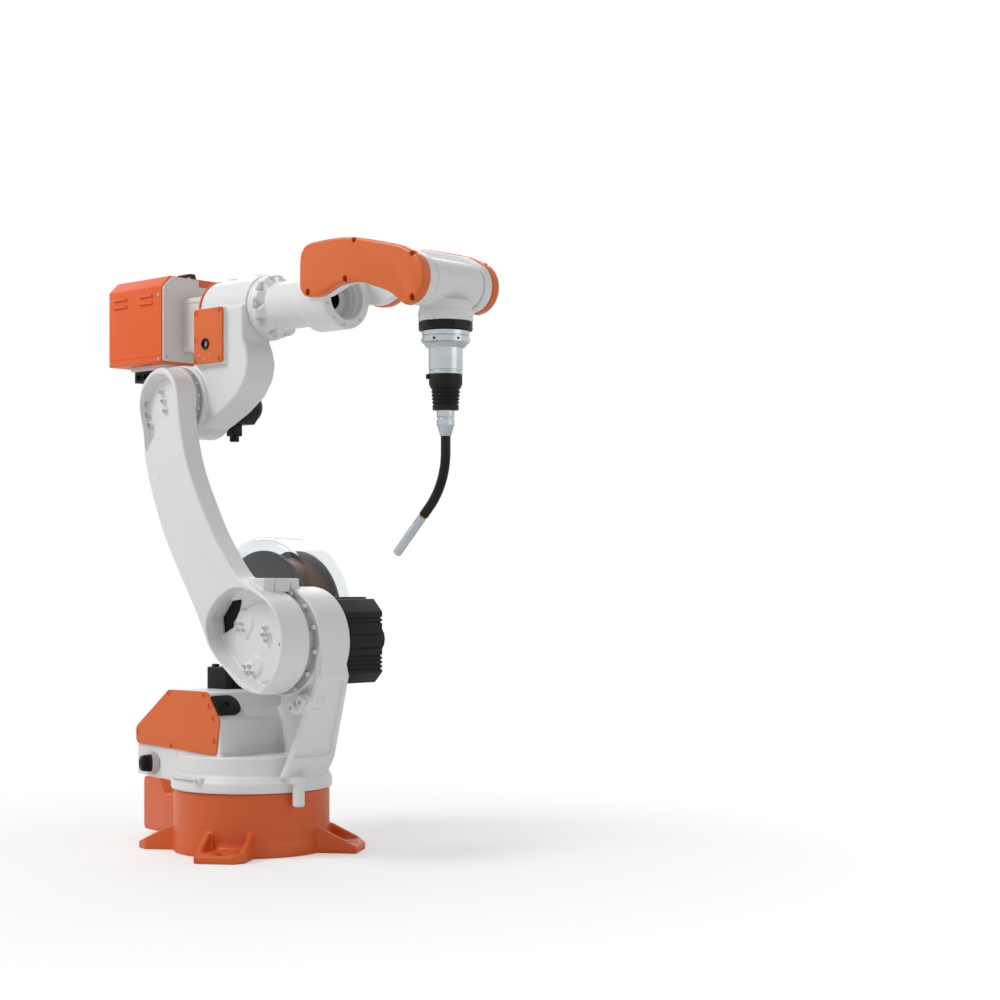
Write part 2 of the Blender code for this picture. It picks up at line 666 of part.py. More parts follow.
def stop_outline():
    """The stop block as it lies in the pose of the arm, wrapped round the shoulder."""
    seat = SHOULDER_RADIUS + SEAT
    rear_angle = math.degrees(math.acos(STOP_BLOCK_REAR / seat))
    toe = arc((0.0, 0.0), STOP_BLOCK_TOE_RADIUS, STOP_BLOCK_TOE_ANGLE, STOP_BLOCK_TOE_ANGLE, 1)
    outline = arc((0.0, 0.0), seat, STOP_BLOCK_TOE_ANGLE, rear_angle, CORNER_STEPS)
    return outline + [(STOP_BLOCK_REAR, STOP_BLOCK_TOP), (STOP_BLOCK_FRONT, STOP_BLOCK_TOP),
                      (STOP_BLOCK_FRONT, STOP_BLOCK_STEP), toe[0]]


def build_lower_arm(frame, white):
    """The lower arm casting with its pockets, the ring at its elbow and the stop block."""
    casting = piece("lower_arm_casting",
                    prism(rounded(arm_outline()), ARM_NEAR, ARM_FAR, "Y", ARM_ROUND, 0.0),
                    white, frame)
    shaped(casting, "UNION", disc(SHOULDER_RADIUS, ARM_NEAR, FLANGE_NEAR, "Y",
                                  edge=SHOULDER_ROUND))
    end = (0.0, 0.0, LINK)
    shaped(casting, "UNION", turned([(0.0, ARM_NEAR), (ELBOW_END_RADIUS - ARM_ROUND, ARM_NEAR),
                                     (ELBOW_END_RADIUS, ARM_NEAR + ARM_ROUND),
                                     (ELBOW_RING_RADIUS, ELBOW_RING_NEAR),
                                     (0.0, ELBOW_RING_NEAR)], "Y", end))
    piece("elbow_ring", disc(ELBOW_RING_RADIUS, ELBOW_RING_NEAR + SEAT, ELBOW_RING_FAR, "Y", end),
          white, frame)
    stop = prism(stop_outline(), ARM_FAR + SEAT, HOUSING_NEAR - STOP_BLOCK_GAP, "Y")
    stop = moved(stop, Matrix.Rotation(math.radians(-LEAN), 3, "Y"))
    piece("j2_stop_block", stop, white, frame)


def elbow_x(world_x):
    """A distance ahead of joint 1, measured from joint 3 in the pose of the arm."""
    return world_x - J2_OFFSET - LINK * math.sin(math.radians(LEAN))


def elbow_z(world_z):
    """A height above the floor, measured from joint 3 in the pose of the arm."""
    return world_z - J2_HEIGHT - LINK * math.cos(math.radians(LEAN))


def build_elbow(frame, white, orange, black):
    """The elbow casting with joint 3 low on its near side and joint 4 along its top."""
    rise = ELBOW_RISE
    face = elbow_x(J4_FACE)
    rear = elbow_x(J4_HOUSING_REAR)
    boss = ELBOW_BOSS_RADIUS
    outline = rounded([(-boss, 0.0, 0.0), (rear, rise * ELBOW_BACK_SHARE, ELBOW_FILLET),
                       (rear, rise, 0.0), (face - ELBOW_EDGE, rise, 0.0),
                       (face, rise * ELBOW_CHIN_SHARE, ELBOW_FILLET),
                       (boss * ELBOW_KNEE_SHARE, -boss * ELBOW_TOE_SHARE, ELBOW_FILLET),
                       (0.0, -boss, 0.0)])
    casting = piece("elbow_casting", prism(outline, ELBOW_WEB_NEAR, ELBOW_FAR, "Y"), white, frame)
    shaped(casting, "UNION", disc(boss, ELBOW_RING_FAR + SEAT, ELBOW_FAR, "Y"))
    shaped(casting, "UNION", disc(J4_HOUSING_RADIUS, rear, face, "X", (0.0, 0.0, rise),
                                  edge=ELBOW_EDGE))
    left = elbow_x(ELBOW_COVER_LEFT)
    right = elbow_x(ELBOW_COVER_RIGHT)
    low = elbow_z(ELBOW_COVER_LOW)
    high = elbow_z(ELBOW_COVER_HIGH)
    seat = ELBOW_COVER_FACE
    pad = rounded([(left, low, COVER_CORNER), (left, high, COVER_CORNER),
                   (right, high, COVER_CORNER), (right, low, COVER_CORNER)])
    shaped(casting, "UNION", prism(pad, seat, ELBOW_WEB_NEAR + ELBOW_EDGE, "Y"))
    cover = piece("elbow_cover", prism(pad, seat - SEAT - COVER_THICK, seat - SEAT, "Y"),
                  orange, frame)
    port = (elbow_x(ELBOW_PORT_X), 0.0, elbow_z(ELBOW_PORT_Z))
    hole = disc(ELBOW_PORT_RADIUS + SEAT, seat - COVER_THICK - CUT_PAST, seat + CUT_PAST, "Y",
                port, STEPS_SMALL)
    shaped(cover, "DIFFERENCE", hole)
    piece("elbow_port", hollow_ring(ELBOW_PORT_RADIUS - COVER_THICK, ELBOW_PORT_RADIUS,
                                    seat - 2.0 * COVER_THICK, seat - SEAT, "Y", port,
                                    STEPS_SMALL), black, frame)


def build_feeder(frame, white, orange, black):
    """The wire feeder box behind the elbow: rear shell, front panel, rail and socket bar."""
    rear = elbow_x(FEEDER_REAR)
    front = elbow_x(FEEDER_FRONT)
    low = elbow_z(FEEDER_LOW)
    high = elbow_z(FEEDER_HIGH)
    half = FEEDER_HALF
    chamfer = FEEDER_CHAMFER
    section = [(-half, low), (half, low), (half, high - chamfer), (half - chamfer, high),
               (-half + chamfer, high), (-half, high - chamfer)]
    shell = piece("feeder_shell", prism(section, rear, front, "X"), orange, frame)
    panel_section = [(v * FEEDER_PANEL_SHARE, w) for v, w in section]
    piece("feeder_front_panel", prism(panel_section, front + SEAT,
                                      front + SEAT + FEEDER_PANEL_THICK, "X"), white, frame)
    spine_low = low + FEEDER_CHAMFER
    piece("feeder_mount", block((front + 2.0 * SEAT + FEEDER_PANEL_THICK, -J4_HOUSING_RADIUS / 2.0,
                                 spine_low),
                                (elbow_x(J4_HOUSING_REAR) - SEAT, J4_HOUSING_RADIUS / 2.0,
                                 high - 2.0 * FEEDER_CHAMFER)), white, frame)
    piece("feeder_rail", block((rear + RAIL_SETBACK, -RAIL_HALF, low - SEAT - RAIL_HEIGHT),
                               (front - RAIL_SETBACK / 2.0, RAIL_HALF, low - SEAT)), white, frame)
    top = low - 2.0 * SEAT - RAIL_HEIGHT
    piece("feeder_socket_bar", block((rear + RAIL_SETBACK + COVER_LIP, -BAR_HALF,
                                      top - BAR_HEIGHT),
                                     (front - RAIL_SETBACK, BAR_HALF, top)), black, frame)
    return shell


def prong_outline(grow=0.0):
    """The side view of a fork arm: from the bulb forward, then down to the head on joint 5."""
    head = PRONG_HEAD + grow
    rear = PRONG_REAR - grow
    top = PRONG_TOP + grow
    low = PRONG_TAIL_LOW - grow
    tangent = FOREARM_REACH + head * PRONG_SLOPE_SINE
    knee = tangent - (top - head * PRONG_SLOPE_COSINE) / math.tan(math.radians(PRONG_SLOPE))
    corners = [(rear, low, PRONG_TAIL_ROUND), (rear, top, PRONG_TAIL_ROUND),
               (knee, top, PRONG_BEND)]
    corners += [(point.x, point.y, 0.0) for point in
                arc((FOREARM_REACH, 0.0), head, 90.0 - PRONG_SLOPE, -90.0 - PRONG_SLOPE,
                    STEPS_SMALL // 2)]
    corners += [(PRONG_KNEE, PRONG_WAIST - grow, PRONG_BEND), (PRONG_HEEL, low, PRONG_BEND)]
    return rounded(corners)


def build_forearm(frame, white, orange):
    """The forearm casting that turns on joint 4: flanged tube, bulb with its cup, and fork."""
    low = elbow_x(J4_FACE) + SEAT
    waist = low + TUBE_FLANGE_LENGTH
    bulb = elbow_x(BULB_REAR)
    front = elbow_x(BULB_FRONT)
    profile = [(0.0, low), (TUBE_FLANGE_RADIUS, low), (TUBE_FLANGE_RADIUS, waist - TUBE_SLOPE),
               (TUBE_NECK_RADIUS, waist), (TUBE_NECK_RADIUS, bulb - TUBE_SLOPE),
               (BULB_RADIUS, bulb + TUBE_SLOPE), (BULB_RADIUS, front - COVER_CORNER),
               (BULB_RADIUS - COVER_CORNER, front), (CUP_RADIUS, front),
               (CUP_RADIUS - COVER_CORNER, front - CUP_DEPTH), (CABLE_RADIUS, front - CUP_DEPTH),
               (CABLE_RADIUS, front - CUP_DEPTH - CABLE_DEPTH),
               (0.0, front - CUP_DEPTH - CABLE_DEPTH)]
    casting = piece("forearm_casting", turned(profile, "X"), white, frame)
    arms = [prism(prong_outline(), -PRONG_OUTER, -PRONG_INNER, "Y"),
            prism(prong_outline(), PRONG_INNER, PRONG_OUTER, "Y")]
    shaped(casting, "UNION", gathered(arms))
    piece("fork_cover_near", prism(prong_outline(COVER_LIP), -PRONG_COVER, -PRONG_OUTER - SEAT,
                                   "Y", PRONG_ROUND, 0.0), orange, frame)
    piece("fork_cover_far", prism(prong_outline(COVER_LIP), PRONG_OUTER + SEAT, PRONG_COVER,
                                  "Y", 0.0, PRONG_ROUND), orange, frame)


def build_wrist(frame, white):
    """The wrist that tilts on joint 5 between the fork arms and holds joint 6 below."""
    half = WRIST_HALF
    body = piece("wrist_casting", disc(WRIST_RADIUS, -half, half, "Y", steps=STEPS_MEDIUM,
                                       edge=COVER_CORNER), white, frame)
    shaped(body, "UNION", disc(HUB_RADIUS, -PRONG_INNER + SEAT, PRONG_INNER - SEAT, "Y",
                               steps=STEPS_MEDIUM))
    shaped(body, "UNION", disc(WRIST_HOUSING_RADIUS, WRIST_HOUSING_LOW, WRIST_HOUSING_TOP, "Z",
                               edge=COVER_CORNER))
    shaped(body, "UNION", block((-WRIST_BLOCK_HALF, -half + COVER_CORNER, WRIST_HOUSING_TOP
                                 - COVER_CORNER), (WRIST_BLOCK_HALF, half - COVER_CORNER, 0.0)))


def neck_path():
    """The centre line of the swan neck below joint 5, straight, bent back, and straight."""
    start = Vector((0.0, 0.0, CONE_LOW - SEAT))
    points = [start, start - Vector((0.0, 0.0, NECK_STRAIGHT))]
    centre = points[-1] - Vector((NECK_BEND_RADIUS, 0.0, 0.0))
    for step in range(1, BEND_STEPS + 1):
        angle = math.radians(NECK_ANGLE * step / BEND_STEPS)
        points.append(centre + Vector((math.cos(angle), 0.0, -math.sin(angle)))
                      * NECK_BEND_RADIUS)
    along = Vector((-math.sin(math.radians(NECK_ANGLE)), 0.0,
                    -math.cos(math.radians(NECK_ANGLE))))
    points.append(points[-1] + along * NECK_TAIL)
    return points, along


def swept(path, radius, steps):
    """A round bar along a path that stays in the XZ plane."""
    shape = bmesh.new()
    rings = []
    for index, point in enumerate(path):
        before = path[max(index - 1, 0)]
        after = path[min(index + 1, len(path) - 1)]
        along = (after - before).normalized()
        side = Vector((0.0, 1.0, 0.0))
        up = along.cross(side)
        ring = []
        for step in range(steps):
            angle = math.tau * step / steps
            ring.append(shape.verts.new(point + (side * math.cos(angle) + up * math.sin(angle))
                                        * radius))
        rings.append(ring)
    for first, second in zip(rings, rings[1:]):
        for step in range(steps):
            after = (step + 1) % steps
            shape.faces.new((first[step], first[after], second[after], second[step]))
    shape.faces.new(rings[0])
    shape.faces.new(rings[-1])
    bmesh.ops.recalc_face_normals(shape, faces=shape.faces)
    return shape


def build_torch(frame, black, steel, rubber, brass):
    """The welding torch that turns on joint 6, from its flange to its nozzle."""
    top = WRIST_HOUSING_LOW - SEAT
    piece("torch_flange", disc(TORCH_FLANGE_RADIUS, TORCH_FLANGE_LOW, top, "Z",
                               edge=COVER_LIP), black, frame)
    top = TORCH_FLANGE_LOW - SEAT
    piece("torch_collar", turned([(0.0, top), (COLLAR_RADIUS, top), (COLLAR_RADIUS, COLLAR_LOW),
                                  (BARREL_RADIUS + COVER_LIP, COLLAR_CHAMFER_LOW),
                                  (BARREL_RADIUS, COLLAR_CHAMFER_LOW),
                                  (BARREL_RADIUS, BARREL_LOW), (0.0, BARREL_LOW)], "Z"),
          steel, frame)
    top = BARREL_LOW - SEAT
    run = BOOT_LOW - top
    profile = [(0.0, top)]
    for radius_share, drop_share in BOOT_RIB_SHARES:
        radius = BOOT_TIP_RADIUS + (BOOT_RADIUS - BOOT_TIP_RADIUS) * radius_share
        profile.append((radius, top + run * drop_share))
    profile.append((0.0, BOOT_LOW))
    piece("torch_boot", turned(profile, "Z", steps=STEPS_MEDIUM), rubber, frame)
    top = BOOT_LOW - SEAT
    piece("torch_socket", turned([(0.0, top), (SOCKET_RADIUS, top), (SOCKET_RADIUS, SOCKET_LOW),
                                  (CONE_RADIUS + COVER_LIP, SOCKET_LOW - COVER_LIP),
                                  (CONE_RADIUS, CONE_LOW), (0.0, CONE_LOW)], "Z",
                                 steps=STEPS_MEDIUM), steel, frame)
    path, along = neck_path()
    piece("swan_neck", swept(path, NECK_RADIUS, STEPS_SMALL), black, frame)
    turn = Matrix.Rotation(math.radians(NECK_ANGLE), 3, "Y")
    end = path[-1] + along * SEAT
    ring = disc(NECK_RADIUS - COVER_LIP, -NECK_RING, 0.0, "Z", steps=STEPS_SMALL)
    piece("nozzle_insulator", moved(ring, turn, end), brass, frame)
    end = end + along * (NECK_RING + SEAT)
    bore = NOZZLE_BORE
    nozzle = turned([(0.0, 0.0), (NOZZLE_RADIUS, 0.0), (NOZZLE_RADIUS, -NOZZLE_LENGTH),
                     (bore, -NOZZLE_LENGTH), (bore, -NOZZLE_LENGTH + NOZZLE_BORE_DEPTH),
                     (TIP_RADIUS, -NOZZLE_LENGTH + NOZZLE_BORE_DEPTH),
                     (TIP_RADIUS, -NOZZLE_LENGTH + TIP_RECESS),
                     (0.0, -NOZZLE_LENGTH + TIP_RECESS)], "Z", steps=STEPS_SMALL)
    piece("torch_nozzle", moved(nozzle, turn, end), steel, frame)


def main():
    """Build every body in the frame of its joint."""
    clear_scene()
    white = finish("white_paint", (0.80, 0.80, 0.79), 0.40)
    orange = finish("orange_paint", (0.75, 0.20, 0.06), 0.45)
    black = finish("black_motor", (0.03, 0.03, 0.03), 0.50)
    rubber = finish("black_rubber", (0.02, 0.02, 0.02), 0.70)
    clear = finish("clear_plastic", (0.85, 0.88, 0.88), 0.10)
    steel = finish("satin_steel", (0.60, 0.62, 0.63), 0.30, 1.0)
    brass = finish("brass", (0.70, 0.50, 0.22), 0.30, 1.0)
    base = axis_frame("base_frame", turn_z=BASE_TURN)
    turret = axis_frame("j1_frame")
    arm = axis_frame("j2_frame", turret, (J2_OFFSET, 0.0, J2_HEIGHT), turn_y=LEAN)
    elbow = axis_frame("j3_frame", arm, (0.0, 0.0, LINK), turn_y=-LEAN)
    forearm = axis_frame("j4_frame", elbow, (0.0, 0.0, ELBOW_RISE))
    wrist = axis_frame("j5_frame", forearm, (FOREARM_REACH, 0.0, 0.0))
    torch = axis_frame("j6_frame", wrist)
    build_base(base, orange)
    build_turret(turret, white, orange, black, rubber)
    build_motors(turret, elbow, black)
    build_reel(turret, clear, black, white)
    build_lower_arm(arm, white)
    build_elbow(elbow, white, orange, black)
    build_feeder(elbow, white, orange, black)
    build_forearm(forearm, white, orange)
    build_wrist(wrist, white)
    build_torch(torch, black, steel, rubber, brass)


main()
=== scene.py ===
"""A six-axis arc-welding robot arm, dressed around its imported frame.

Metres, +Z up. The origin is on the floor on the axis of joint 1, +X is the way the arm
points and -Y is the side that carries the lower arm.
"""
from __future__ import annotations

import json
import logging
import math
from dataclasses import dataclass
from enum import Enum

import bmesh
import bpy
from mathutils import Matrix, Vector

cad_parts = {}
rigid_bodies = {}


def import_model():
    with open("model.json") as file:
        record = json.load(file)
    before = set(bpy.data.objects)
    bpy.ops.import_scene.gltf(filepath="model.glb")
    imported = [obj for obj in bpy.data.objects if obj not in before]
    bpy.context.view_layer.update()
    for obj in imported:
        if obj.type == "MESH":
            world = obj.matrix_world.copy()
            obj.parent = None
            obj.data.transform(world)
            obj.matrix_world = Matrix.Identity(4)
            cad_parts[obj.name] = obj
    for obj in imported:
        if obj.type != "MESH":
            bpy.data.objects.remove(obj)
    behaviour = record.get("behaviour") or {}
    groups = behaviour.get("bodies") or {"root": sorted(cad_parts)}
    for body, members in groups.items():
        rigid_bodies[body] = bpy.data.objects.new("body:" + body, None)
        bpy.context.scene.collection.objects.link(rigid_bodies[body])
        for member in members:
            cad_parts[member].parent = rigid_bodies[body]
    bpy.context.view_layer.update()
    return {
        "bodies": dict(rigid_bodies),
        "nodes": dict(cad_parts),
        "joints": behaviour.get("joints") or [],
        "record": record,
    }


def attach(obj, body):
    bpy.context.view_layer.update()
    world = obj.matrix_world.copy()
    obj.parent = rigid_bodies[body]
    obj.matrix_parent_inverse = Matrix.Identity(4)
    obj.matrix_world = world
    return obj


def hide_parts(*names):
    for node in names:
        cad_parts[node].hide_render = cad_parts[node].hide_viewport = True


LOG = logging.getLogger("robot_arm")

Shape = bmesh.types.BMesh
Outline = list[Vector]
Corner = tuple[float, float, float]

SEAT = 0.0003            # the gap between two faces that touch
PAST = 0.004             # how far a cut runs past the face that it opens
TINY = 0.000001          # points closer than this are one point
LARGE = 128              # steps round a large turned shape
MEDIUM = 72
SMALL = 36
CORNER_STEPS = 8

# The joint axes in the stored pose
J2 = Vector((0.170, 0.0, 0.447))
LINK = 0.590
LEAN = math.radians(-30.3)
J3 = J2 + Vector((math.sin(LEAN), 0.0, math.cos(LEAN))) * LINK
ELBOW_RISE = 0.194
J4 = J3 + Vector((0.0, 0.0, ELBOW_RISE))
FOREARM_REACH = 0.700
J5 = J4 + Vector((FOREARM_REACH, 0.0, 0.0))
BASE_TURN = Matrix.Rotation(math.radians(-12.0), 4, "Z")
ARM_FRAME = Matrix.Translation(J2) @ Matrix.Rotation(LEAN, 4, "Y")


class Axis(Enum):
    """The axis that an outline is pushed along or a profile is turned about."""

    X = "X"
    Y = "Y"
    Z = "Z"

    def point(self, u: float, v: float, along: float) -> Vector:
        """The place of an outline's point (u, v) at a distance along this axis."""
        places = {"X": (along, u, v), "Y": (u, along, v), "Z": (u, v, along)}
        return Vector(places[self.value])

    def turn(self) -> Matrix:
        """The turn that brings +Z onto this axis."""
        turns = {"X": Matrix.Rotation(math.radians(90.0), 4, "Y"),
                 "Y": Matrix.Rotation(math.radians(-90.0), 4, "X"),
                 "Z": Matrix.Identity(4)}
        return turns[self.value]


class Body(Enum):
    """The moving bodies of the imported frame."""

    BASE = "base"
    TURRET = "turret"
    REEL = "reel"
    LOWER_ARM = "lower_arm"
    ELBOW = "elbow"
    FOREARM = "forearm"
    WRIST = "wrist"
    TORCH = "torch"


# ---- Outlines ----


def arc(centre: tuple[float, float], radius: float, first: float, last: float,
        steps: int = CORNER_STEPS) -> Outline:
    """Points on an arc.

    Args:
        centre: The centre of the arc.
        radius: Its radius.
        first: The angle of the first point in degrees.
        last: The angle of the last point in degrees.
        steps: The number of steps between them.

    Returns:
        The points from first to last.
    """
    points = []
    for step in range(steps + 1):
        angle = math.radians(first + (last - first) * step / steps)
        points.append(Vector((centre[0] + radius * math.cos(angle),
                              centre[1] + radius * math.sin(angle))))
    return points


def rounded(corners: list[Corner], steps: int = CORNER_STEPS) -> Outline:
    """An outline whose corners are rounded by arcs.

    Args:
        corners: The corners as (u, v, radius).
        steps: The number of steps in each arc.

    Returns:
        The points of the outline.
    """
    outline: Outline = []
    for index, (u, v, radius) in enumerate(corners):
        point = Vector((u, v))
        if radius <= 0.0:
            outline.append(point)
            continue
        before = (Vector(corners[index - 1][:2]) - point).normalized()
        after = (Vector(corners[(index + 1) % len(corners)][:2]) - point).normalized()
        half = before.angle(after) / 2.0
        centre = point + (before + after).normalized() * (radius / math.sin(half))
        start = point + before * (radius / math.tan(half)) - centre
        end = point + after * (radius / math.tan(half)) - centre
        sweep = start.angle_signed(end)
        outline += [centre + Matrix.Rotation(-sweep * step / steps, 2) @ start
                    for step in range(steps + 1)]
    return outline


def flowing(points: list[tuple[float, float]], steps: int = 6) -> Outline:
    """A closed smooth curve through points.

    Args:
        points: The points that the curve passes.
        steps: The number of steps from each point to the next.

    Returns:
        The points of the outline.
    """
    places = [Vector(point) for point in points]
    count = len(places)
    outline: Outline = []
    for index in range(count):
        first, second = places[index - 1], places[index]
        third, fourth = places[(index + 1) % count], places[(index + 2) % count]
        for step in range(steps):
            t = step / steps
            outline.append(0.5 * (2.0 * second + (third - first) * t
                                  + (2.0 * first - 5.0 * second + 4.0 * third - fourth) * t ** 2
                                  + (3.0 * second - first - 3.0 * third + fourth) * t ** 3))
    return outline


def shrunk(outline: Outline, amount: float) -> Outline:
    """The outline moved inwards along its own normals.

    Args:
        outline: A closed outline of any sense.
        amount: How far each point moves inwards.

    Returns:
        The moved points.
    """
    count = len(outline)
    area = sum(outline[i - 1].x * outline[i].y - outline[i].x * outline[i - 1].y
               for i in range(count))
    sense = 1.0 if area > 0.0 else -1.0
    moved = []
    for index, point in enumerate(outline):
        along = (outline[(index + 1) % count] - outline[index - 1]).normalized()
        moved.append(point + Vector((-along.y, along.x)) * (sense * amount))
    return moved


# ---- Shapes ----


def prism(outline: Outline, low: float, high: float, axis: Axis, rim_low: float = 0.0,
          rim_high: float = 0.0, segments: int = 4) -> Shape:
    """A closed outline pushed along an axis, its end edges rounded over.

    Args:
        outline: The points of the outline.
        low: Where the shape begins on the axis.
        high: Where it ends.
        axis: The axis.
        rim_low: The radius of the edge at the beginning.
        rim_high: The radius of the edge at the end.
        segments: The steps of each rounded edge.

    Returns:
        The closed shape.
    """
    shape = bmesh.new()
    ring = [shape.verts.new(axis.point(point[0], point[1], low)) for point in outline]
    face = shape.faces.new(ring)
    grown = bmesh.ops.extrude_face_region(shape, geom=[face])
    far = [item for item in grown["geom"] if isinstance(item, bmesh.types.BMVert)]
    bmesh.ops.translate(shape, verts=far, vec=axis.point(0.0, 0.0, high - low))
    bmesh.ops.recalc_face_normals(shape, faces=shape.faces)
    along = axis.point(0.0, 0.0, 1.0)
    for level, radius in ((low, rim_low), (high, rim_high)):
        if radius <= 0.0:
            continue
        edges = [edge for edge in shape.edges
                 if all(abs(vert.co.dot(along) - level) < TINY for vert in edge.verts)]
        bmesh.ops.bevel(shape, geom=edges, offset=radius, offset_type="OFFSET",
                        segments=segments, profile=0.5, affect="EDGES",
                        clamp_overlap=False, material=-1)
    return shape


def turned(profile: list[tuple[float, float] | Vector], axis: Axis = Axis.Z,
           centre: Vector | tuple[float, float, float] = (0.0, 0.0, 0.0), steps: int = LARGE,
           ring: bool = False) -> Shape:
    """A profile turned once about an axis.

    Args:
        profile: Points as (radius, distance along the axis).
        axis: The axis of the turn.
        centre: A point on the axis, from which the distances run.
        steps: The steps of the turn.
        ring: Whether the profile closes on itself instead of on the axis.

    Returns:
        The closed shape.
    """
    shape = bmesh.new()
    verts = [shape.verts.new((radius, 0.0, along)) for radius, along in profile]
    pairs = list(zip(verts, verts[1:]))
    if ring:
        pairs.append((verts[-1], verts[0]))
    edges = [shape.edges.new(pair) for pair in pairs]
    bmesh.ops.spin(shape, geom=verts + edges, cent=(0.0, 0.0, 0.0), axis=(0.0, 0.0, 1.0),
                   angle=math.tau, steps=steps, use_merge=True, use_duplicate=False)
    bmesh.ops.remove_doubles(shape, verts=shape.verts, dist=TINY)
    bmesh.ops.transform(shape, matrix=Matrix.Translation(Vector(centre)) @ axis.turn(),
                        verts=shape.verts)
    bmesh.ops.recalc_face_normals(shape, faces=shape.faces)
    return shape


def disc(radius: float, low: float, high: float, axis: Axis = Axis.Z,
         centre: Vector | tuple[float, float, float] = (0.0, 0.0, 0.0), steps: int = LARGE,
         edge: float = 0.0) -> Shape:
    """A round plate between two distances along an axis, with rounded edges.

    Args:
        radius: The radius of the plate.
        low: Where it begins on the axis.
        high: Where it ends.
        axis: The axis.
        centre: A point on the axis.
        steps: The steps of the turn.
        edge: The radius of both edges.

    Returns:
        The closed shape.
    """
    if edge <= 0.0:
        profile = [(0.0, low), (radius, low), (radius, high), (0.0, high)]
        return turned(profile, axis, centre, steps)
    corner = radius - edge
    lower = arc((corner, low + edge), edge, -90.0, 0.0, 4)
    upper = arc((corner, high - edge), edge, 0.0, 90.0, 4)
    return turned([(0.0, low), *lower, *upper, (0.0, high)], axis, centre, steps)


def block(low: tuple[float, float, float], high: tuple[float, float, float],
          edge: float = 0.0) -> Shape:
    """A block between two corners with all its edges rounded.

    Args:
        low: The lowest corner.
        high: The highest corner.
        edge: The radius of the edges.

    Returns:
        The closed shape.
    """
    outline = [Vector((low[0], low[1])), Vector((high[0], low[1])),
               Vector((high[0], high[1])), Vector((low[0], high[1]))]
    shape = prism(outline, low[2], high[2], Axis.Z)
    if edge > 0.0:
        bmesh.ops.bevel(shape, geom=shape.edges, offset=edge, offset_type="OFFSET", segments=3,
                        profile=0.5, affect="EDGES", clamp_overlap=True, material=-1)
    return shape


def trimmed(shape: Shape, point: tuple[float, float, float],
            outward: tuple[float, float, float]) -> Shape:
    """The shape cut off flat at a plane, keeping the side behind it.

    Args:
        shape: The closed shape to cut.
        point: A point on the plane.
        outward: The plane's normal, towards the side that is cut off.

    Returns:
        The closed shape that is left.
    """
    geometry = shape.verts[:] + shape.edges[:] + shape.faces[:]
    cut = bmesh.ops.bisect_plane(shape, geom=geometry, dist=TINY, plane_co=point,
                                 plane_no=Vector(outward).normalized(), clear_outer=True)
    edges = [item for item in cut["geom_cut"] if isinstance(item, bmesh.types.BMEdge)]
    bmesh.ops.holes_fill(shape, edges=edges)
    bmesh.ops.recalc_face_normals(shape, faces=shape.faces)
    return shape


def placed(shape: Shape, matrix: Matrix) -> Shape:
    """The shape moved by a matrix."""
    bmesh.ops.transform(shape, matrix=matrix, verts=shape.verts)
    return shape


def gathered(shapes: list[Shape]) -> Shape:
    """Several shapes put into one, each used up.

    Args:
        shapes: The shapes, which stand apart or touch only within one finish.

    Returns:
        One shape that holds them all.
    """
    whole = bmesh.new()
    for shape in shapes:
        mesh = bpy.data.meshes.new("gathered")
        shape.to_mesh(mesh)
        shape.free()
        whole.from_mesh(mesh)
        bpy.data.meshes.remove(mesh)
    return whole


def repeated(shape: Shape, places: list[Matrix]) -> Shape:
    """Copies of a shape at several places.

    Args:
        shape: The shape to copy, used up.
        places: The matrix of each copy.

    Returns:
        One shape that holds the copies.
    """
    mesh = bpy.data.meshes.new("repeated")
    shape.to_mesh(mesh)
    shape.free()
    whole = bmesh.new()
    for place in places:
        whole.verts.index_update()
        count = len(whole.verts)
        whole.from_mesh(mesh)
        whole.verts.ensure_lookup_table()
        bmesh.ops.transform(whole, matrix=place, verts=whole.verts[count:])
    bpy.data.meshes.remove(mesh)
    return whole


def facing(place: Vector | tuple[float, float, float],
           outward: Vector | tuple[float, float, float], spin: float = 0.0) -> Matrix:
    """The matrix that stands +Z on a surface.

    Args:
        place: The point on the surface.
        outward: The surface's normal.
        spin: A turn about that normal in degrees.

    Returns:
        The matrix from +Z at the origin to the place.
    """
    turn = Vector(outward).to_track_quat("Z", "Y").to_matrix().to_4x4()
    return Matrix.Translation(Vector(place)) @ turn @ Matrix.Rotation(math.radians(spin), 4, "Z")


def swept(path: list[Vector], radius: float, steps: int = 48) -> Shape:
    """A round bar along a path that lies in a plane of constant Y.

    Args:
        path: The points of its centre line.
        radius: Its radius.
        steps: The steps round it.

    Returns:
        The closed shape.
    """
    shape = bmesh.new()
    side = Vector((0.0, 1.0, 0.0))
    rings = []
    for index, point in enumerate(path):
        before, after = path[max(index - 1, 0)], path[min(index + 1, len(path) - 1)]
        up = (after - before).normalized().cross(side)
        ring = []
        for step in range(steps):
            angle = math.tau * step / steps
            ring.append(shape.verts.new(point + side * (radius * math.cos(angle))
                                        + up * (radius * math.sin(angle))))
        rings.append(ring)
    for first, second in zip(rings, rings[1:]):
        for step in range(steps):
            shape.faces.new((first[step - 1], first[step], second[step], second[step - 1]))
    shape.faces.new(rings[0])
    shape.faces.new(rings[-1])
    bmesh.ops.recalc_face_normals(shape, faces=shape.faces)
    return shape


def bare_object(name: str, mesh: bpy.types.Mesh) -> bpy.types.Object:
    """A new object in the scene for a mesh."""
    thing = bpy.data.objects.new(name, mesh)
    bpy.context.scene.collection.objects.link(thing)
    return thing


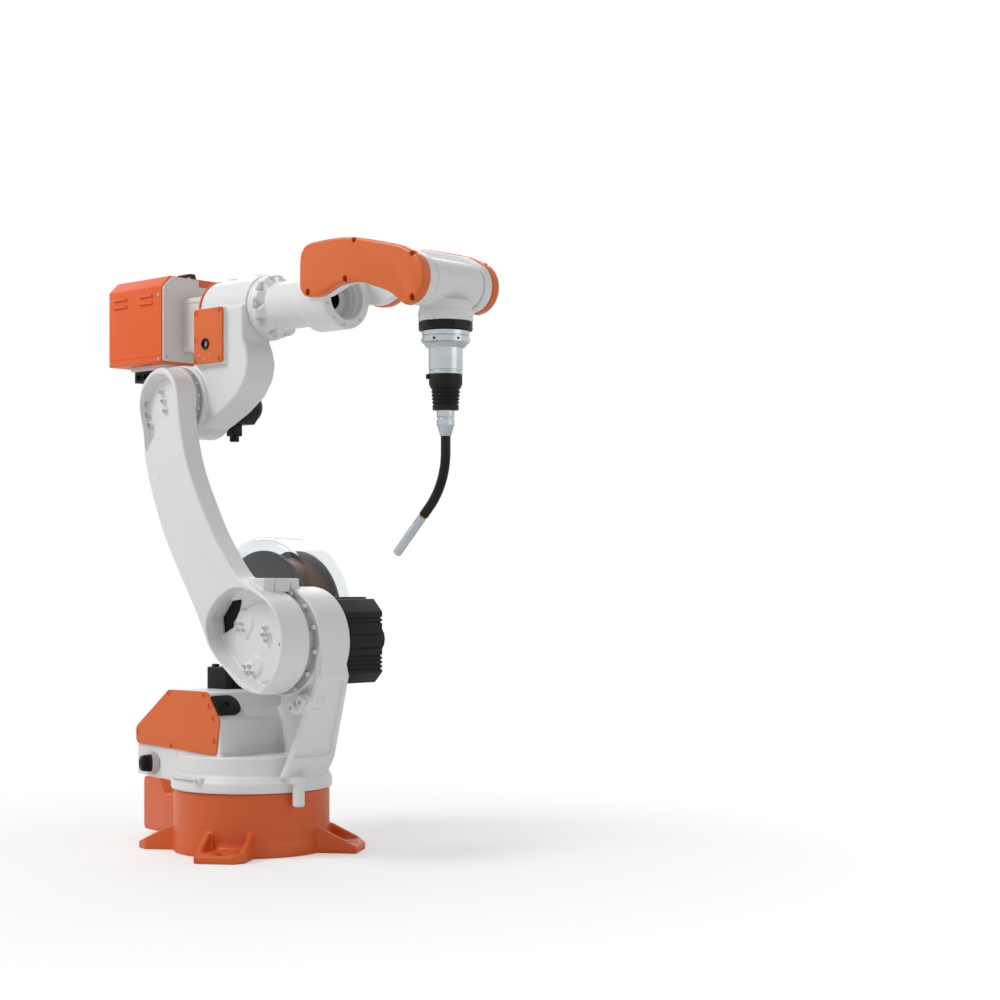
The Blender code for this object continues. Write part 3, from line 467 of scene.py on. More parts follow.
def settled(thing: bpy.types.Object) -> Shape:
    """The object's mesh with its modifiers applied; the object is removed.

    Args:
        thing: An object whose modifiers are to be applied.

    Returns:
        The shape that its modifiers give.
    """
    bpy.context.view_layer.update()
    seen = thing.evaluated_get(bpy.context.evaluated_depsgraph_get())
    mesh = bpy.data.meshes.new_from_object(seen)
    shape = bmesh.new()
    shape.from_mesh(mesh)
    bpy.data.meshes.remove(mesh)
    old = thing.data
    bpy.data.objects.remove(thing)
    bpy.data.meshes.remove(old)
    return shape


def carved(shape: Shape, joins: list[Shape] | None = None,
           cuts: list[Shape] | None = None) -> Shape:
    """A shape joined with some shapes and then cut by others.

    Args:
        shape: The first shape, used up.
        joins: The shapes that are joined to it.
        cuts: The shapes that are taken away after that.

    Returns:
        The closed shape that is left.
    """
    mesh = bpy.data.meshes.new("carved")
    shape.to_mesh(mesh)
    shape.free()
    thing = bare_object("carved", mesh)
    tools = []
    steps = [("UNION", tool) for tool in joins or []] + [("DIFFERENCE", tool)
                                                       for tool in cuts or []]
    for action, tool_shape in steps:
        tool_mesh = bpy.data.meshes.new("tool")
        tool_shape.to_mesh(tool_mesh)
        tool_shape.free()
        tool = bare_object("tool", tool_mesh)
        modifier = thing.modifiers.new(action, "BOOLEAN")
        modifier.operation = action
        modifier.solver = "EXACT"
        modifier.object = tool
        tools.append(tool)
    result = settled(thing)
    for tool in tools:
        tool_mesh = tool.data
        bpy.data.objects.remove(tool)
        bpy.data.meshes.remove(tool_mesh)
    return result


def as_cast(shape: Shape, voxel: float, rounds: int, keep_share: float) -> Shape:
    """The shape with the soft edges and fillets of a painted casting.

    Args:
        shape: The closed shape, used up.
        voxel: The size of the cells that it is made of again.
        rounds: How often it is smoothed, which sets the radius of its edges.
        keep_share: The share of its triangles that is kept.

    Returns:
        The softened shape.
    """
    mesh = bpy.data.meshes.new("cast")
    shape.to_mesh(mesh)
    shape.free()
    thing = bare_object("cast", mesh)
    remesh = thing.modifiers.new("Remesh", "REMESH")
    remesh.mode = "VOXEL"
    remesh.voxel_size = voxel
    smooth = thing.modifiers.new("Smooth", "SMOOTH")
    smooth.factor = 0.5
    smooth.iterations = rounds
    if keep_share < 1.0:
        decimate = thing.modifiers.new("Decimate", "DECIMATE")
        decimate.ratio = keep_share
    return settled(thing)


def screw(radius: float, height: float, socket_share: float = 0.55) -> Shape:
    """A socket head screw that stands on the origin.

    Args:
        radius: The radius of its head.
        height: The height of its head.
        socket_share: The width of its hexagonal socket as a share of the head.

    Returns:
        The closed shape.
    """
    shape = bmesh.new()
    bmesh.ops.create_circle(shape, cap_ends=True, radius=radius, segments=24)
    base = shape.faces[:]
    grown = bmesh.ops.extrude_face_region(shape, geom=base)
    top = [item for item in grown["geom"] if isinstance(item, bmesh.types.BMVert)]
    face = [item for item in grown["geom"] if isinstance(item, bmesh.types.BMFace)][0]
    bmesh.ops.translate(shape, verts=top, vec=(0.0, 0.0, height))
    bmesh.ops.recalc_face_normals(shape, faces=shape.faces)
    bmesh.ops.inset_region(shape, faces=[face], thickness=radius * 0.14, depth=0.0)
    for vert in face.verts:
        vert.co.z = height
    rim = {vert for vert in shape.verts if abs(vert.co.z - height) < TINY} - set(face.verts)
    for vert in rim:
        vert.co.z = height - radius * 0.14
    bmesh.ops.inset_region(shape, faces=[face], thickness=radius * 0.12, depth=0.0)
    flat = radius * socket_share * math.cos(math.radians(30.0))
    for vert in face.verts:
        angle = math.atan2(vert.co.y, vert.co.x)
        wave = (angle + math.radians(30.0)) % math.radians(60.0) - math.radians(30.0)
        reach = flat / math.cos(wave)
        vert.co.x, vert.co.y = reach * math.cos(angle), reach * math.sin(angle)
    sunk = bmesh.ops.extrude_discrete_faces(shape, faces=[face])
    bmesh.ops.translate(shape, verts=sunk["faces"][0].verts, vec=(0.0, 0.0, -height * 0.6))
    return shape


# ---- Finishes ----


def linear(code: str) -> tuple[float, float, float, float]:
    """The linear colour of an sRGB hex value."""
    shares = [int(code[place:place + 2], 16) / 255.0 for place in (1, 3, 5)]
    parts = [share / 12.92 if share <= 0.04045 else ((share + 0.055) / 1.055) ** 2.4
             for share in shares]
    return (parts[0], parts[1], parts[2], 1.0)


def add_node(tree: bpy.types.NodeTree, kind: str, settings: dict[str, object] | None = None,
             inputs: dict[str, object] | None = None) -> bpy.types.Node:
    """A new node with its settings, values and links.

    Args:
        tree: The node tree.
        kind: The node's type.
        settings: Its properties.
        inputs: Its sockets by name, each with a value or with the socket linked to it.

    Returns:
        The node.
    """
    node = tree.nodes.new(kind)
    for key, value in (settings or {}).items():
        setattr(node, key, value)
    for key, value in (inputs or {}).items():
        if isinstance(value, bpy.types.NodeSocket):
            tree.links.new(value, node.inputs[key])
        else:
            node.inputs[key].default_value = value
    return node


@dataclass(frozen=True)
class Finish:
    """A surface: two close colours that drift into each other, gloss and a fine grain.

    The grain and the drift are given in millimetres of the real surface.
    """

    name: str
    colour: str
    shade: str
    roughness: float
    metallic: float = 0.0
    grain_mm: float = 3.0
    grain_depth_mm: float = 0.02
    drift_mm: float = 90.0
    gloss_spread: float = 0.05
    specular: float = 0.5
    stretch: tuple[float, float, float] = (1.0, 1.0, 1.0)

    def make(self) -> bpy.types.Material:
        """The material of this finish, made once."""
        known = bpy.data.materials.get(self.name)
        if known is not None:
            return known
        material = bpy.data.materials.new(self.name)
        material.use_nodes = True
        tree = material.node_tree
        shader = tree.nodes["Principled BSDF"]
        place = add_node(tree, "ShaderNodeTexCoord")
        mapping = add_node(tree, "ShaderNodeMapping", inputs={
            "Vector": place.outputs["Object"], "Scale": self.stretch})
        drift = add_node(tree, "ShaderNodeTexNoise", inputs={
            "Vector": place.outputs["Object"], "Scale": 1000.0 / self.drift_mm, "Detail": 3.0})
        mix = add_node(tree, "ShaderNodeMix", {"data_type": "RGBA"},
                       {"Factor": drift.outputs["Fac"]})
        mix.inputs[6].default_value = linear(self.colour)
        mix.inputs[7].default_value = linear(self.shade)
        tree.links.new(mix.outputs[2], shader.inputs["Base Color"])
        grain = add_node(tree, "ShaderNodeTexNoise", inputs={
            "Vector": mapping.outputs["Vector"], "Scale": 1000.0 / self.grain_mm, "Detail": 2.0})
        gloss = add_node(tree, "ShaderNodeMapRange", inputs={
            "Value": grain.outputs["Fac"], "To Min": self.roughness - self.gloss_spread,
            "To Max": self.roughness + self.gloss_spread})
        tree.links.new(gloss.outputs["Result"], shader.inputs["Roughness"])
        bump = add_node(tree, "ShaderNodeBump", inputs={
            "Strength": 0.35, "Distance": self.grain_depth_mm / 1000.0,
            "Height": grain.outputs["Fac"]})
        tree.links.new(bump.outputs["Normal"], shader.inputs["Normal"])
        shader.inputs["Metallic"].default_value = self.metallic
        shader.inputs["Specular IOR Level"].default_value = self.specular
        return material


@dataclass(frozen=True)
class ClearFinish:
    """Clear moulded polycarbonate: faintly cool, with a slow waviness from the mould."""

    name: str
    colour: str
    roughness: float
    ior: float
    wave_mm: float = 60.0

    def make(self) -> bpy.types.Material:
        """The material of this finish, made once."""
        known = bpy.data.materials.get(self.name)
        if known is not None:
            return known
        material = bpy.data.materials.new(self.name)
        material.use_nodes = True
        tree = material.node_tree
        shader = tree.nodes["Principled BSDF"]
        place = add_node(tree, "ShaderNodeTexCoord")
        wave = add_node(tree, "ShaderNodeTexNoise", inputs={
            "Vector": place.outputs["Object"], "Scale": 1000.0 / self.wave_mm})
        bump = add_node(tree, "ShaderNodeBump", inputs={
            "Strength": 0.15, "Distance": 0.0004, "Height": wave.outputs["Fac"]})
        tree.links.new(bump.outputs["Normal"], shader.inputs["Normal"])
        shader.inputs["Base Color"].default_value = linear(self.colour)
        shader.inputs["Roughness"].default_value = self.roughness
        shader.inputs["IOR"].default_value = self.ior
        shader.inputs["Transmission Weight"].default_value = 1.0
        return material


# Cast iron and aluminium under satin white powder coat: smooth, with a faint orange peel. The
# real peel is about 1 mm and would not show, so it is drawn at 4 mm.
CAST_WHITE = Finish("powder_coated_casting_white", "#E8E8E8", "#E3E3E3", 0.36, grain_mm=4.0,
                    grain_depth_mm=0.06)
# The same coat on folded sheet and plates, flatter because sheet is smooth under it.
SHEET_WHITE = Finish("powder_coated_sheet_white", "#E2E1DF", "#DDDBD9", 0.38, grain_mm=2.5,
                     grain_depth_mm=0.02)
# Orange powder coat on the cast base, a little rougher because the casting shows through.
CAST_ORANGE = Finish("powder_coated_casting_orange", "#DB601F", "#D2591C", 0.42, grain_mm=4.0,
                     grain_depth_mm=0.08)
# Orange powder coat on moulded covers: satin and even.
COVER_ORANGE = Finish("powder_coated_cover_orange", "#E16A28", "#DC6524", 0.36, grain_mm=2.5,
                      grain_depth_mm=0.03)
# Brighter orange coat on the sheet metal of the feeder box.
BOX_ORANGE = Finish("powder_coated_box_orange", "#E9601A", "#E45A16", 0.36, grain_mm=2.5,
                    grain_depth_mm=0.02)
# Black stove enamel on extruded aluminium motor housings, drawn fine and dull.
MOTOR_BLACK = Finish("stove_enamel_black", "#0C0C0C", "#090909", 0.40, grain_mm=1.8,
                     grain_depth_mm=0.03, specular=0.22)
# Moulded black nylon with its eroded matt texture.
NYLON_BLACK = Finish("moulded_nylon_black", "#0D0D0D", "#0A0A0A", 0.45, grain_mm=1.5,
                     grain_depth_mm=0.05, specular=0.25)
# Moulded black rubber, nearly without gloss.
RUBBER_BLACK = Finish("moulded_rubber_black", "#0E0E0E", "#0B0B0B", 0.55, grain_mm=2.0,
                      grain_depth_mm=0.06, specular=0.25)
# Black oxide on steel socket screws.
BLACK_OXIDE = Finish("black_oxide_steel", "#3A3A3A", "#303030", 0.40, 0.8, grain_mm=1.0,
                     grain_depth_mm=0.01)
# Zinc plate on steel screws, bright with a cool cloudiness.
ZINC = Finish("zinc_plated_steel", "#C9CCCE", "#B6BABD", 0.32, 0.9, grain_mm=2.0,
              grain_depth_mm=0.01, drift_mm=8.0)
# Turned and satin polished steel: rings of the lathe run round the torch's own axis, so the
# grain is drawn short along Z and long across it.
TURNED_STEEL = Finish("turned_steel", "#C2C8CB", "#AEB5B9", 0.28, 1.0, grain_mm=2.0,
                      grain_depth_mm=0.02, drift_mm=25.0, stretch=(0.06, 0.06, 1.0))
# Machined brass.
BRASS = Finish("machined_brass", "#C79A55", "#B98B47", 0.30, 1.0, grain_mm=1.5,
               grain_depth_mm=0.01)
# Copper coated welding wire: close turns 1.2 mm apart, drawn at 3 mm so that they show.
COPPER_WIRE = Finish("copper_coated_wire", "#6A4A38", "#573A2B", 0.38, 0.8, grain_mm=3.0,
                     grain_depth_mm=0.6, stretch=(0.05, 1.0, 0.05), gloss_spread=0.10)
# The moulded black spool behind the clear cover.
SPOOL_BLACK = Finish("moulded_spool_black", "#292726", "#242221", 0.45, grain_mm=6.0,
                     grain_depth_mm=0.02)
# Bare grey of machined flange faces under a thin clear lacquer.
FLANGE_GREY = Finish("lacquered_flange_grey", "#BDBDBC", "#B4B4B3", 0.40, 0.1, grain_mm=2.0,
                     grain_depth_mm=0.03)
CLEAR = ClearFinish("clear_polycarbonate", "#F4F7F8", 0.04, 1.30)


@dataclass
class SubAssembly:
    """What every sub-assembly shares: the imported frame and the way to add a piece."""

    frame: dict

    def put(self, name: str, shape: Shape, finish: Finish | ClearFinish, body: Body,
            slot: str, *nodes: str, crisp: bool = True) -> bpy.types.Object:
        """Add a finished piece to the scene.

        Args:
            name: The name of the piece.
            shape: Its shape in the place where it belongs, used up.
            finish: Its finish.
            body: The body that it rides on.
            slot: The record's material slot; not used.
            nodes: The nodes of the frame that it replaces.
            crisp: Whether its edges of more than 35 degrees stay sharp.

        Returns:
            The piece.
        """
        mesh = bpy.data.meshes.new(name)
        shape.to_mesh(mesh)
        shape.free()
        mesh.materials.clear()
        mesh.materials.append(finish.make())
        for face in mesh.polygons:
            face.material_index = 0
        mesh.shade_smooth()
        if crisp:
            mesh.set_sharp_from_angle(angle=math.radians(35.0))
        thing = bare_object(name, mesh)
        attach(thing, body.value)
        if nodes:
            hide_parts(*nodes)
        LOG.info("%s: %d faces", name, len(mesh.polygons))
        return thing

    def screws(self, name: str, places: list[Matrix], finish: Finish, body: Body, slot: str,
               radius: float, height: float) -> bpy.types.Object:
        """Add socket screws of one size as one piece.

        Args:
            name: The name of the piece.
            places: Where each stands.
            finish: Their finish.
            body: The body that they ride on.
            slot: The record's material slot.
            radius: The radius of a head.
            height: The height of a head.

        Returns:
            The piece.
        """
        return self.put(name, repeated(screw(radius, height), places), finish, body, slot)

    def screwed_cover(self, node: str, shape: Shape, spots: list[tuple[float, float]],
                      outer: float, floor: float, seat: float, head: tuple[float, float],
                      body: Body, hole: Shape | None = None) -> None:
        """Add an orange cover with its screws sunk in round seats.

        Args:
            node: The node of the frame that the cover replaces.
            shape: The plain cover, which faces along Y.
            spots: The places of its screws as (x, z).
            outer: The Y of its outer face.
            floor: The Y of the seats' floors.
            seat: The radius of a seat.
            head: The radius and the height of a screw's head.
            body: The body that it rides on.
            hole: A shape that is cut out of it first.
        """
        side = 1.0 if outer > 0.0 else -1.0
        low, high = sorted((floor, outer + side * PAST))
        seats = gathered([disc(seat, low, high, Axis.Y, (x, 0.0, z), SMALL) for x, z in spots])
        cuts = [seats] if hole is None else [hole, seats]
        self.put(f"{node}_finished", carved(shape, cuts=cuts), COVER_ORANGE, body,
                 "orange_paint", node)
        places = [facing((x, floor, z), (0.0, side, 0.0)) for x, z in spots]
        self.screws(f"{node}_screws", places, COVER_ORANGE, body, "orange_paint", *head)


@dataclass
class BaseUnit(SubAssembly):
    """The fixed base: a drum on four slotted feet with a connector box behind."""

    radius: float = 0.1655
    height: float = 0.133
    skirt: float = 0.026
    flare: float = 0.0015
    foot_reach: float = 0.242
    foot_width: float = 0.104
    foot_thick: float = 0.020
    foot_angles: tuple[float, ...] = (-45.0, 45.0, 135.0, -135.0)
    gusset_thick: float = 0.012
    gusset_height: float = 0.052
    slot_width: float = 0.018
    slot_length: float = 0.030
    box_reach: float = 0.370
    box_half: float = 0.075
    box_low: float = 0.010
    box_high: float = 0.130
    ledge_drop: float = 0.032
    ledge_end: float = 0.294

    def foot(self) -> Shape:
        """One foot along +X: a plate between two sloping gussets."""
        half = self.foot_width / 2.0
        wall = half - self.gusset_thick
        section = [Vector(point) for point in (
            (-half, 0.0), (half, 0.0), (half, self.gusset_height), (wall, self.gusset_height),
            (wall, self.foot_thick), (-wall, self.foot_thick), (-wall, self.gusset_height),
            (-half, self.gusset_height))]
        shape = prism(section, self.radius - 0.040, self.foot_reach, Axis.X)
        toe = self.foot_reach - self.gusset_thick
        trimmed(shape, (toe, 0.0, self.foot_thick),
                (self.gusset_height - self.foot_thick, 0.0, toe - self.radius))
        return trimmed(shape, (self.foot_reach - 0.022, half, 0.0), (1.0, 1.0, 0.0))

    def slot_hole(self) -> Shape:
        """The slotted bolt hole of the foot along +X, with its milled seat."""
        centre = self.foot_reach - 0.026
        run = (self.slot_length - self.slot_width) / 2.0
        shapes = []
        for radius, low in ((self.slot_width / 2.0, -PAST), (0.0165, self.foot_thick - 0.0025)):
            outline = arc((centre + run, 0.0), radius, -90.0, 90.0)
            outline += arc((centre - run, 0.0), radius, 90.0, 270.0)
            shapes.append(prism(outline, low, self.foot_thick + 0.030, Axis.Z))
        return carved(shapes[0], [shapes[1]])

    def build(self) -> None:
        """Add the base casting, the connector box and their fittings."""
        outer = self.radius + self.flare
        drum = turned([(0.0, 0.0), (outer, 0.0), (outer, self.skirt),
                       (self.radius, self.skirt + self.flare * 1.6),
                       (self.radius, self.height - 0.003), (self.radius - 0.003, self.height),
                       (0.0, self.height)])
        turns = [Matrix.Rotation(math.radians(angle), 4, "Z") for angle in self.foot_angles]
        feet = [placed(self.foot(), turn) for turn in turns]
        holes = [placed(self.slot_hole(), turn) for turn in turns]
        casting = as_cast(carved(drum, feet, holes), 0.0024, 5, 0.5)
        self.put("base_casting_finished", placed(casting, BASE_TURN), CAST_ORANGE, Body.BASE,
                 "orange_paint", "base_casting", crisp=False)
        self.connector_box()

    def connector_box(self) -> None:
        """Add the box with its rear plate, two capped connectors and screws."""
        ledge = self.box_high - self.ledge_drop
        inner = -self.radius + 0.040
        outline = rounded([(-self.box_reach, self.box_low, 0.012),
                           (-self.box_reach, self.box_high, 0.012),
                           (-self.ledge_end, self.box_high, 0.004),
                           (-self.ledge_end + self.ledge_drop, ledge, 0.004),
                           (inner, ledge, 0.0), (inner, self.box_low, 0.0)])
        shell = prism(outline, -self.box_half, self.box_half, Axis.Y, 0.0015, 0.0015)
        gap = self.radius + SEAT
        drum = turned([(0.0, -PAST), (gap + self.flare, -PAST), (gap + self.flare, self.skirt),
                       (gap, self.skirt + self.flare * 1.6), (gap, self.height + PAST),
                       (0.0, self.height + PAST)])
        recess = prism(rounded([(-0.064, 0.026, 0.008), (0.064, 0.026, 0.008),
                                (0.064, 0.116, 0.008), (-0.064, 0.116, 0.008)]),
                       -self.box_reach - PAST, -self.box_reach + 0.010, Axis.X)
        self.put("connector_box_finished", placed(carved(shell, cuts=[drum, recess]), BASE_TURN),
                 CAST_ORANGE, Body.BASE, "orange_paint", "rear_connector_box")
        face = -self.box_reach + 0.010
        caps = []
        for side, radius in ((-0.030, 0.019), (0.026, 0.025)):
            caps.append(turned([(0.0, 0.0), (radius, 0.0), (radius, 0.003), (radius - 0.003, 0.004),
                                (radius - 0.003, 0.008), (radius - 0.006, 0.009), (0.0, 0.009)],
                               Axis.Z, steps=MEDIUM))
            placed(caps[-1], facing((face, side, 0.071), (-1.0, 0.0, 0.0)))
        self.put("connector_caps", placed(gathered(caps), BASE_TURN), NYLON_BLACK, Body.BASE,
                 "black_plastic")
        corners = [BASE_TURN @ facing((face, side, level), (-1.0, 0.0, 0.0))
                   for side in (-0.056, 0.056) for level in (0.034, 0.108)]
        self.screws("connector_screws", corners, ZINC, Body.BASE, "satin_steel", 0.0042, 0.003)


@dataclass
class Turret(SubAssembly):
    """What turns on joint 1: ring, drum, rear body, column and housing of joint 2."""

    low: float = 0.1333
    ring_radius: float = 0.171
    drum_radius: float = 0.158
    drum_top: float = 0.208
    half: float = 0.137
    rear: float = -0.216
    front: float = 0.060
    shoulder: float = 0.258
    deck: float = 0.340
    deck_rear: float = -0.106
    deck_front: float = 0.020
    nose: float = 0.284
    housing_radius: float = 0.113
    housing_near: float = -0.063
    housing_far: float = 0.022
    flange_near: float = -0.085
    column_top: float = 0.377
    foot_front: float = 0.195
    foot_height: float = 0.205
    plate: float = 0.018
    plate_near: float = -0.060
    far_low: float = 0.060
    far_high: float = 0.018
    web_rear: tuple[float, float] = (0.060, 0.030)
    web_front: tuple[float, float] = (0.248, -0.054)

    def slope_frame(self) -> Matrix:
        """The frame of the column's sloping front: X along +Y, Y up the slope, Z outwards."""
        front = J2.x + self.housing_radius
        up = Vector((front - self.foot_front, 0.0, self.column_top - self.foot_height))
        up.normalize()
        side = Vector((0.0, 1.0, 0.0))
        out = side.cross(up)
        matrix = Matrix((side, up, out)).transposed().to_4x4()
        return Matrix.Translation((self.foot_front, 0.0, self.foot_height)) @ matrix

    def far_trimmed(self, shape: Shape) -> Shape:
        """The shape cut along the column's leaning far side."""
        return trimmed(shape, (0.0, self.far_high, self.column_top),
                       (0.0, self.column_top - self.foot_height, self.far_low - self.far_high))

    def column_web(self) -> Shape:
        """The web of the column, whose near wall slants from the body to the front plate."""
        front = J2.x + self.housing_radius - self.plate / 2.0
        foot = self.foot_front - self.plate / 2.0
        outline = [(0.020, 0.165), (0.020, self.deck), (J2.x - self.housing_radius, J2.z - 0.056),
                   (J2.x, J2.z), (front, J2.z), (front, self.column_top),
                   (foot, self.foot_height), (0.160, 0.165)]
        shape = self.far_trimmed(prism(outline, -self.half, self.far_low, Axis.Y))
        run = self.web_front[0] - self.web_rear[0]
        rise = self.web_front[1] - self.web_rear[1]
        return trimmed(shape, (self.web_rear[0], self.web_rear[1], 0.0), (rise, -run, 0.0))

    def column_plate(self) -> Shape:
        """The leaning front plate with the shallow panel in its front face."""
        front = J2.x + self.housing_radius
        outline = [(front, J2.z), (front, self.column_top),
                   (self.foot_front, self.foot_height), (0.171, 0.165),
                   (0.171 - self.plate, 0.165), (self.foot_front - self.plate, self.foot_height),
                   (front - self.plate, self.column_top), (front - self.plate, J2.z)]
        shape = self.far_trimmed(prism(outline, self.plate_near, self.far_low, Axis.Y, 0.002))
        slope = math.hypot(front - self.foot_front, self.column_top - self.foot_height)
        recess = prism(rounded([(self.plate_near + 0.0055, 0.002, 0.004),
                                (self.plate_near + 0.0055, slope - 0.010, 0.004),
                                (self.far_high - 0.009, slope - 0.010, 0.004),
                                (self.far_low - 0.013, 0.002, 0.010)]), -0.009, 0.050, Axis.Z)
        return carved(shape, cuts=[placed(recess, self.slope_frame())])

    def body(self) -> Shape:
        """The rear body, whose floor falls towards the front."""
        shape = prism(rounded([(self.rear, 0.152, 0.0), (self.rear, self.shoulder, 0.010),
                               (self.deck_rear, self.deck, 0.010),
                               (self.deck_front, self.deck, 0.010),
                               (self.front, self.nose, 0.010), (self.front, 0.145, 0.0)]),
                      -self.half, self.half, Axis.Y)
        trimmed(shape, (self.rear, 0.0, 0.157), (-0.10, 0.0, -1.0))
        gap = self.ring_radius + 0.001
        ring_seat = disc(gap, 0.100, self.low + 0.004, Axis.Z)
        return carved(shape, cuts=[ring_seat])

    def build(self) -> None:
        """Add the casting, its covers, flange, fittings and stops."""
        top = self.low + 0.035
        ring = turned([(0.0, self.low), (self.ring_radius - 0.002, self.low),
                       (self.ring_radius, self.low + 0.002), (self.ring_radius, top - 0.014),
                       (self.ring_radius - 0.0045, top - 0.008),
                       (self.ring_radius - 0.0045, top - 0.004),
                       (self.drum_radius + 0.001, top - 0.001),
                       (self.drum_radius, self.drum_top - 0.003),
                       (self.drum_radius - 0.003, self.drum_top), (0.0, self.drum_top)],
                      steps=LARGE)
        housing = disc(self.housing_radius, self.housing_near, self.housing_far, Axis.Y, J2,
                       edge=0.004)
        boss = disc(0.0125, 0.106, top, Axis.Z, self.stop_place(0.187), SMALL)
        head = disc(0.0205, top - 0.016, top + 0.001, Axis.Z, self.stop_place(0.180), MEDIUM)
        lug = block((J2.x - 0.002, self.housing_near, J2.z), (J2.x + 0.026, -0.040, J2.z + 0.130))
        collars = [disc(0.0155, -0.070, -0.020, Axis.Y, self.pin_place(angle), MEDIUM)
                   for angle in (-71.8, -59.6)]
        shape = carved(ring, [self.body(), self.column_web(), self.column_plate(), housing, boss,
                              head, lug, *collars])
        self.put("turret_casting_finished", as_cast(shape, 0.0022, 4, 0.4), CAST_WHITE,
                 Body.TURRET, "white_paint", "turret_casting", crisp=False)
        self.covers()
        self.flange()
        self.gland()
        self.stops()
        self.cable_plate()

    def stop_place(self, reach: float) -> Vector:
        """A point at a distance from joint 1 in the direction of the stop pin."""
        angle = math.radians(-10.0)
        return Vector((reach * math.cos(angle), reach * math.sin(angle), 0.0))

    def pin_place(self, degrees: float) -> Vector:
        """A point on the circle of the stop pins round joint 2."""
        angle = math.radians(degrees)
        return J2 + Vector((math.cos(angle), 0.0, math.sin(angle))) * 0.1400

    def cover_outline(self) -> Outline:
        """The outline of a side cover."""
        lip = 0.0015
        return rounded([(self.rear - lip, 0.222, 0.012), (self.rear - lip, self.shoulder, 0.012),
                        (self.deck_rear, self.deck + lip, 0.014),
                        (self.deck_front, self.deck + lip, 0.010),
                        (self.front + lip, self.nose, 0.010),
                        (self.front - 0.0115, 0.210, 0.010)])

    def covers(self) -> None:
        """Add the two orange side covers with their screws in open seats."""
        spots = [(-0.211, 0.246), (-0.104, 0.334), (0.013, 0.334), (0.030, 0.312),
                 (0.043, 0.286), (0.047, 0.240), (-0.095, 0.221)]
        for name, side in (("near", -1.0), ("far", 1.0)):
            inner, outer = side * (self.half + SEAT), side * (self.half + SEAT + 0.0035)
            low, high = sorted((inner, outer))
            rims = (0.0012, 0.0) if side < 0.0 else (0.0, 0.0012)
            cover = prism(self.cover_outline(), low, high, Axis.Y, *rims)
            self.screwed_cover(f"turret_cover_{name}", cover, spots, outer,
                               outer - side * 0.0022, 0.0062, (0.0048, 0.0020), Body.TURRET)

    def flange(self) -> None:
        """Add the grey flange between housing and lower arm with its ring of screws."""
        near = self.flange_near + SEAT
        far = self.housing_near - SEAT
        ring = turned([(0.0, near), (0.0955, near), (0.097, near + 0.0015), (0.097, far - 0.004),
                       (0.1090, far - 0.003), (0.1090, far), (0.0, far)], Axis.Y, J2)
        self.put("flange_ring_finished", ring, FLANGE_GREY, Body.TURRET, "white_paint",
                 "j2_flange_ring")
        places = []
        for index in range(13):
            angle = math.radians(17.4 + 27.7 * index)
            out = Vector((math.cos(angle), 0.0, math.sin(angle)))
            places.append(facing(J2 + out * 0.1035 + Vector((0.0, far - 0.003, 0.0)),
                                 (0.0, -1.0, 0.0)))
        self.screws("flange_screws", places, CAST_WHITE, Body.TURRET, "white_paint", 0.0046,
                    0.0065)

    def gland(self) -> None:
        """Add the cable gland at the rear of the body and the two plugs beside it."""
        gland_out = Vector((-math.sin(math.radians(27.5)), -math.cos(math.radians(27.5)), 0.0))
        seat = Vector((-0.165, -0.137, 0.1815))
        washer = turned([(0.0, -0.010), (0.0245, -0.010), (0.0245, 0.002), (0.0225, 0.003),
                         (0.0, 0.003)], steps=MEDIUM)
        self.put("gland_washer", placed(washer, facing(seat, gland_out)), FLANGE_GREY,
                 Body.TURRET, "black_rubber")
        lines = [(0.0, 0.003), (0.0185, 0.003), (0.0185, 0.010), (0.0165, 0.011)]
        for level in (0.012, 0.015, 0.018):
            lines += [(0.0178, level), (0.0178, level + 0.0016), (0.0160, level + 0.0024)]
        lines += [(0.0165, 0.024), (0.0125, 0.027), (0.0090, 0.027), (0.0090, 0.018), (0.0, 0.018)]
        self.put("cable_gland", placed(turned(lines, steps=MEDIUM), facing(seat, gland_out)),
                 NYLON_BLACK, Body.TURRET, "black_plastic")
        places = [facing((-0.0853, -self.half, level), (0.0, -1.0, 0.0))
                  for level in (0.2085, 0.1790)]
        self.screws("body_plugs", places, CAST_WHITE, Body.TURRET, "white_paint", 0.0058, 0.0012)

    def stops(self) -> None:
        """Add the pins that stop joint 2, and the stop strip of joint 1 on the ring."""
        pins = []
        for angle in (-71.8, -59.6):
            profile = [(0.0, 0.0), (0.0100, 0.0), (0.0100, 0.010), (0.0088, 0.0115),
                       (0.0050, 0.0115), (0.0050, 0.0070), (0.0, 0.0070)]
            place = self.pin_place(angle) + Vector((0.0, -0.0703, 0.0))
            pins.append(placed(turned(profile, steps=SMALL), facing(place, (0.0, -1.0, 0.0))))
        self.put("j2_stop_pins", gathered(pins), SHEET_WHITE, Body.TURRET, "white_paint",
                 "j2_stop_bumper")
        radius = self.ring_radius + 0.0036
        outline = arc((0.0, 0.0), radius, -119.0, -84.0, 24)
        outline += arc((0.0, 0.0), radius - 0.020, -84.0, -119.0, 24)
        strip = prism(outline, self.low + 0.0265, self.low + 0.0315, Axis.Z, 0.0, 0.001)
        angle = math.radians(-81.0)
        end = Vector((math.cos(angle), math.sin(angle), 0.0)) * (radius - 0.006)
        foot = placed(block((-0.0105, -0.007, self.low + 0.0195),
                            (0.0105, 0.007, self.low + 0.0315), 0.0015),
                      Matrix.Translation(end) @ Matrix.Rotation(angle + math.radians(90.0), 4, "Z"))
        self.put("ring_stop_strip", gathered([strip, foot]), SHEET_WHITE, Body.TURRET,
                 "white_paint")
        outward = Vector((math.cos(angle), math.sin(angle), 0.0))
        spot = outward * (radius + 0.001) + Vector((0.0, 0.0, self.low + 0.0255))
        self.screws("ring_stop_screw", [facing(spot, outward)], ZINC, Body.TURRET, "satin_steel",
                    0.0042, 0.0016)

